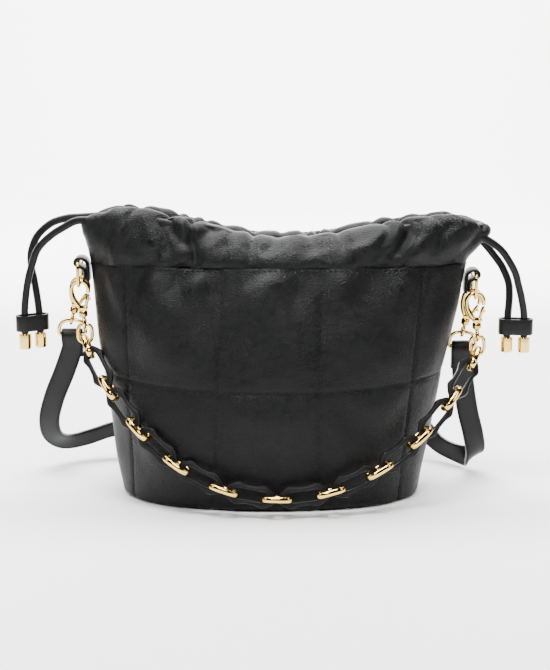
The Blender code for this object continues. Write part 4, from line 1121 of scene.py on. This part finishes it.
def strap_section():
    """Flat, with rounded painted edges and a pressed line just inside each edge; and each side's finish."""
    look = settings().strap
    half, thick = look.width / 2, look.thickness / 2
    right = [(half, 0), (half - 0.1 * MM, 0.55 * thick), (half - 0.5 * MM, 0.93 * thick)]
    line = half - 1.1 * MM
    right += [(line + 0.22 * MM, thick), (line, 0.8 * thick), (line - 0.22 * MM, thick)]
    right.append((half * 0.5, 1.06 * thick))
    upper = right + [(0, 1.08 * thick)] + [(-x, y) for x, y in right[::-1]]
    whole = upper + [(x, -y) for x, y in upper[-2:0:-1]]
    edge = [min(abs(a[0]), abs(b[0])) > half - 0.52 * MM for a, b in zip(whole, whole[1:] + whole[:1])]
    return whole, np.array(edge, int)


class BAG_OT_crossbody_strap(bpy.types.Operator):
    """Flat leather strap with painted edges, two stitch lines and a D-ring at each end"""

    bl_idname = "bag.crossbody_strap"
    bl_label = "Crossbody strap"

    def execute(self, context):
        for word in ("left", "right"):
            bar = d_ring_bar(word)
            flat = [(x, 0.0) for x in np.linspace(-8.2, 8.2, 15)]
            turns = np.linspace(0.1, pi - 0.1, 40)
            arch = [(9.4 * signed_power(cos(t), 0.7), 10.8 * signed_power(sin(t), 0.7)) for t in turns]
            loop = bar + np.array([(x, 0, z) for x, z in flat + arch]) * MM
            make_piece(f"d_ring_{word}_gold", ring_loop(loop, 2.6 * MM), GOLD, ["strap_d_ring_" + word])
        route = strap_route()
        path, sides = route[:, :3], route[:, 3:]
        section, edge = strap_section()
        rings = swept(path, section, sides=sides)
        painted = np.r_[np.tile(edge, len(path) - 1), 1, 1]
        strap = make_piece("crossbody_strap", capped_grid(rings), PAINTED, ["strap"], face_finish=painted)
        look = settings().strap
        across = unit(rings[:, 0] - path)
        out = unit(np.cross(np.gradient(path, axis=0), across)) * look.thickness * 0.54
        reach = (look.width / 2 - look.edge_stitch) * across
        lines = [(path + s * reach + o * out)[4:-4] for s in (-1, 1) for o in (-1, 1)]
        threads = stitch_lines("strap_stitches", lines, 2.1 * MM, 3.1 * MM, 0.5 * MM, seed=11)
        return {"FINISHED"}


# Drawcords ------------------------------------------------------------------------------------------------

# Share of the half width at which the cords leave the casing, the upper cord's depth below the rim's top, and
# the way down from one cord to the other.
RIM_SPAN, CORD_TOP, CORD_PITCH = 0.93, 4.9 * MM, 5.9 * MM
# Each tail from the casing's end down to its cap, in mm from the casing's end on that side.
TAILS = {
    "left": (
        ((-12, -10, -0.6), (-21, -9, -5), (-30.4, -8, -11), (-39.5, -6.5, -20), (-44, -5, -30.5),
         (-48, -4, -44), (-50.8, -3.2, -63), (-51.1, -3.1, -80.5)),
        ((-12, 10, -0.6), (-21.5, 10, -1.4), (-32.5, 9.4, -5), (-42, 8.2, -13.5), (-46.5, 6.8, -24.5),
         (-46.5, 5.4, -35), (-44.5, 4.2, -45), (-42.1, 3.3, -63), (-41.2, 3.1, -80.5)),
    ),
    "right": (
        ((11, -10, -2), (22, -9.5, -9.5), (29, -8, -19), (33.3, -6.5, -27), (35.7, -5, -35),
         (38.5, -3.5, -45), (40.9, -1.6, -58), (41.3, -0.6, -72.5)),
        ((10, 10, -5), (21, 10, -17.5), (26.5, 8.6, -25.5), (30.5, 7, -35.3), (31.1, 5, -43),
         (30.7, 3, -50), (29.8, 1.2, -59), (29.5, 0.6, -72.5)),
    ),
}


def channel_point(share, lower, front):
    """Centre of a cord inside the rim casing, half its thickness in from its outer face."""
    top = float(rim_height(np.array(share)))
    level = top - CORD_TOP - (CORD_PITCH if lower else 0)
    rise = (level - SEAM_HEIGHT) / (top - SEAM_HEIGHT)
    seam_y = 36 * MM * (1 - abs(share) ** BODY_POWER) ** (1 / BODY_POWER)
    rim_y = 24 * MM * (1 - abs(share) ** 4) ** 0.25
    x = (1 - rise) * (SEAM_CENTRE + 130.5 * MM * share) + rise * (RIM_CENTRE + 141 * MM * share)
    y = (1 - rise) * seam_y + rise * rim_y - 5.9 * MM
    return np.array((x, -y if front else y, level))


def casing_end(word):
    side = -1 if word == "left" else 1
    return channel_point(side * RIM_SPAN, word == "right", True) * (1, 0, 1)


def cord_section():
    """Folded leather sewn into a cord: round, a little flat, with a raised seam along one side."""
    turns = np.linspace(0, 2 * pi, 20, endpoint=False)
    half = settings().strap.cord / 2
    away = np.abs(turns - pi / 2)
    ridge = 1 + 0.07 * np.exp(-(away**2) / 0.05) - 0.06 * np.exp(-((away - 0.45) ** 2) / 0.03)
    return np.c_[half * 1.03 * np.cos(turns) * ridge, half * 0.97 * np.sin(turns) * ridge]


def cap_parts():
    """Turned metal cord end with a bevelled mouth and two fine grooves; its top face is the origin."""
    outline = [(0, -10.8), (3.5, -10.8), (3.95, -10.6), (4.15, -10.2), (4.2, -9.6), (4.2, -2.6)]
    outline += [(4.05, -2.45), (4.05, -2.2), (4.2, -2.05), (4.2, -1.5), (4.05, -1.35), (4.05, -1.1)]
    outline += [(4.2, -0.95), (4.2, -0.4), (3.9, 0), (0, 0)]
    return turned(np.array(outline) * MM, 44)


def keeper_parts():
    """Leather band pinched in the middle and round each cord; +X runs from cord to cord and +Z is up."""
    count = 96
    turns = 2 * pi * (np.arange(count) + 0.5) / count
    shift = np.where(np.cos(turns) > 0, 1, -1)
    outer, inner = (np.c_[shift * 6.7 + r * np.cos(turns), r * np.sin(turns)] for r in (5.3, 3.5))
    for outline, keep in ((outer, 0.46), (inner, 0.2)):
        outline[:, 1] *= 1 - (1 - keep) * np.exp(-((outline[:, 0] / 2.6) ** 2))
    wall = [(0.1, -5.5), (0, -5.1), (0, -1.5), (0, 1.5), (0, 5.1), (0.1, 5.5)]
    wall += [(0.9, 5.5), (1, 5.2), (1, -5.2), (0.9, -5.5)]
    rings = [np.c_[outer + (inner - outer) * t, np.full(count, z)] for t, z in wall]
    return looped_grid(np.array(rings) * MM)


class BAG_OT_drawcords(bpy.types.Operator):
    """Two leather drawcords in the rim, their tails, keepers and metal ends"""

    bl_idname = "bag.drawcords"
    bl_label = "Drawcords"

    def execute(self, context):
        section, cap = cord_section(), cap_parts()
        for word, side in (("left", -1), ("right", 1)):
            origin, lower = casing_end(word), side > 0
            shares = [side * RIM_SPAN * (1 - i / 6) for i in range(13)]
            front = [channel_point(s, lower, True) for s in shares]
            back = [channel_point(s, lower, False) for s in shares[::-1]]
            turn_back = []
            for part, outset in ((0.75, 4.4), (0, 6.6), (-0.75, 4.4)):
                middle = (front[-1] + back[0]) / 2
                turn_back.append(middle + (front[-1] - middle) * part + np.array((-side * outset * MM, 0, 0)))
            path = through(front[1:] + turn_back + back[:-1], 3 * MM)
            hidden = capped_grid(swept(path, section))
            make_piece(f"drawcord_{word}_hidden_run", hidden, TRIM, ["drawcord_" + word])
            spots = {}
            for which, tail, run in (("front", TAILS[word][0], front), ("back", TAILS[word][1], back[::-1])):
                route = [run[0] * 0.7 + run[1] * 0.3, run[0]] + [origin + np.array(p) * MM for p in tail]
                path = through(route, 1.2 * MM)
                cord = make_piece(f"drawcord_{word}_{which}_tail", capped_grid(swept(path, section)), TRIM)
                spots[which] = route[-1]
                tip = placed(cap, route[-1] - (0, 0, 0.3 * MM), np.eye(3))
                end = make_piece(f"cord_end_{word}_{which}", tip, GOLD, [f"cord_cap_{word}_{which}"])
            across = unit(spots["back"] - spots["front"])
            middle = (spots["front"] + spots["back"]) / 2 + (0, 0, 7.2 * MM)
            keeper = placed(keeper_parts(), middle, [across, np.cross((0, 0, 1), across), (0, 0, 1)])
            make_piece(f"cord_keeper_{word}", keeper, TRIM, ["keeper_" + word], "keeper_" + word)
        return {"FINISHED"}


# Stage and add-on -----------------------------------------------------------------------------------------


# Each light's place, the point it looks at, its width and height, and its power as a multiple of the key's.
LIGHTS = {
    "overhead_softbox": ((-0.1, -0.30, 1.15), (0, 0, 0.1), (0.5, 0.3), 2.4),
    "front_softbox": ((-0.12, -1.15, 0.95), (0, 0, 0.12), (0.28, 0.2), 0.9),
    "left_softbox": ((-1.15, -0.75, 0.85), (0, 0, 0.1), (0.22, 0.8), 0.55),
    "right_softbox": ((1.15, -0.75, 0.85), (0, 0, 0.1), (0.22, 0.8), 0.4),
    "floor_light": ((0.0, 0.55, 1.5), (0, 0.9, 0.0), (2.6, 0.7), 14.0),
    "backdrop_light": ((0.0, 0.6, 1.0), (0, 2.3, 0.9), (2.4, 0.5), 20.0),
}


WORLD_GIVEN, WORLD_SEEN = 0.03, 6.0  # strength of the world's light, and as the camera sees it
CAMERA_TARGET, CAMERA_DISTANCE, CAMERA_RISE = Vector((0, 0, 0.110)), 1.108, radians(12)


def aim(item, place, target):
    item.location = place
    item.rotation_euler = (Vector(target) - Vector(place)).to_track_quat("-Z", "Y").to_euler()


class BAG_OT_stage(bpy.types.Operator):
    """White paper sweep, soft lights and the camera"""

    bl_idname = "bag.stage"
    bl_label = "Stage"

    def execute(self, context):
        look = settings().stage
        bend = [(1.6 + 0.7 * sin(t), 0.7 - 0.7 * cos(t)) for t in np.linspace(0, pi / 2, 16)]
        side = [(-3.0, 0.0), (0.0, 0.0)] + bend + [(2.3, 3.0)]
        points = [(x, y, z - 0.1 * MM) for y, z in side for x in (-3.5, 3.5)]
        faces = [(2 * i, 2 * i + 1, 2 * i + 3, 2 * i + 2) for i in range(len(side) - 1)]
        mesh = bpy.data.meshes.new("paper_sweep")
        mesh.from_pydata(points, [], faces)
        mesh.shade_smooth()
        mesh.materials.append(finish_of("matt_white_paper"))
        add_object("paper_sweep", mesh)
        for name, (place, target, size, power) in LIGHTS.items():
            data = bpy.data.lights.new(name, "AREA")
            data.shape, data.size, data.size_y = "RECTANGLE", size[0], size[1]
            data.energy = look.key * power
            aim(add_object(name, data), place, target)
        world = bpy.data.worlds.new("studio")
        bpy.context.scene.world = world
        world.use_nodes = True
        tree = world.node_tree
        # White where the camera looks past the paper, and dim for the light it gives.
        seen = node(tree, "ShaderNodeLightPath").outputs["Is Camera Ray"]
        tree.links.new(span(tree, seen, WORLD_GIVEN, WORLD_SEEN), tree.nodes["Background"].inputs["Strength"])
        tree.nodes["Background"].inputs["Color"].default_value = (1, 1, 1, 1)
        data = bpy.data.cameras.new("camera")
        data.lens, data.sensor_width = look.lens, 36
        camera = add_object("camera", data)
        away = Vector((0, -cos(CAMERA_RISE), sin(CAMERA_RISE))) * CAMERA_DISTANCE
        aim(camera, CAMERA_TARGET + away, CAMERA_TARGET)
        bpy.context.scene.camera = camera
        return {"FINISHED"}


class BucketBagSettings(bpy.types.PropertyGroup):
    leather: PointerProperty(type=BagLeatherSettings)
    metal: PointerProperty(type=BagMetalSettings)
    strap: PointerProperty(type=BagStrapSettings)
    stage: PointerProperty(type=BagStageSettings)


STEPS = (
    BAG_OT_stage, BAG_OT_drawcords, BAG_OT_crossbody_strap, BAG_OT_leather_body, BAG_OT_gathered_rim,
    BAG_OT_lining, BAG_OT_side_fittings, BAG_OT_clasps, BAG_OT_chain_handle,
)


class BAG_PT_bucket_bag(bpy.types.Panel):
    """Lists the bag's pieces and their settings"""

    bl_label = "Bucket bag"
    bl_idname = "BAG_PT_bucket_bag"
    bl_space_type = "VIEW_3D"
    bl_region_type = "UI"
    bl_category = "Bucket bag"

    def draw(self, context):
        for step in STEPS:
            self.layout.operator(step.bl_idname)
        for group in ("leather", "metal", "strap", "stage"):
            box = self.layout.box()
            box.label(text=group.capitalize())
            part = getattr(context.scene.bucket_bag, group)
            for name in part.bl_rna.properties.keys():
                if name not in ("name", "rna_type"):
                    box.prop(part, name)


CLASSES = (
    BagLeatherSettings, BagMetalSettings, BagStrapSettings, BagStageSettings, BucketBagSettings, *STEPS,
    BAG_PT_bucket_bag,
)


def register():
    for item in CLASSES:
        bpy.utils.register_class(item)
    bpy.types.Scene.bucket_bag = PointerProperty(type=BucketBagSettings)


def unregister():
    del bpy.types.Scene.bucket_bag
    for item in reversed(CLASSES):
        bpy.utils.unregister_class(item)


def main():
    register()
    for step in STEPS:
        group, name = step.bl_idname.split(".")
        getattr(getattr(bpy.ops, group), name)()
    bpy.context.view_layer.update()


if __name__ == "__main__":
    main()
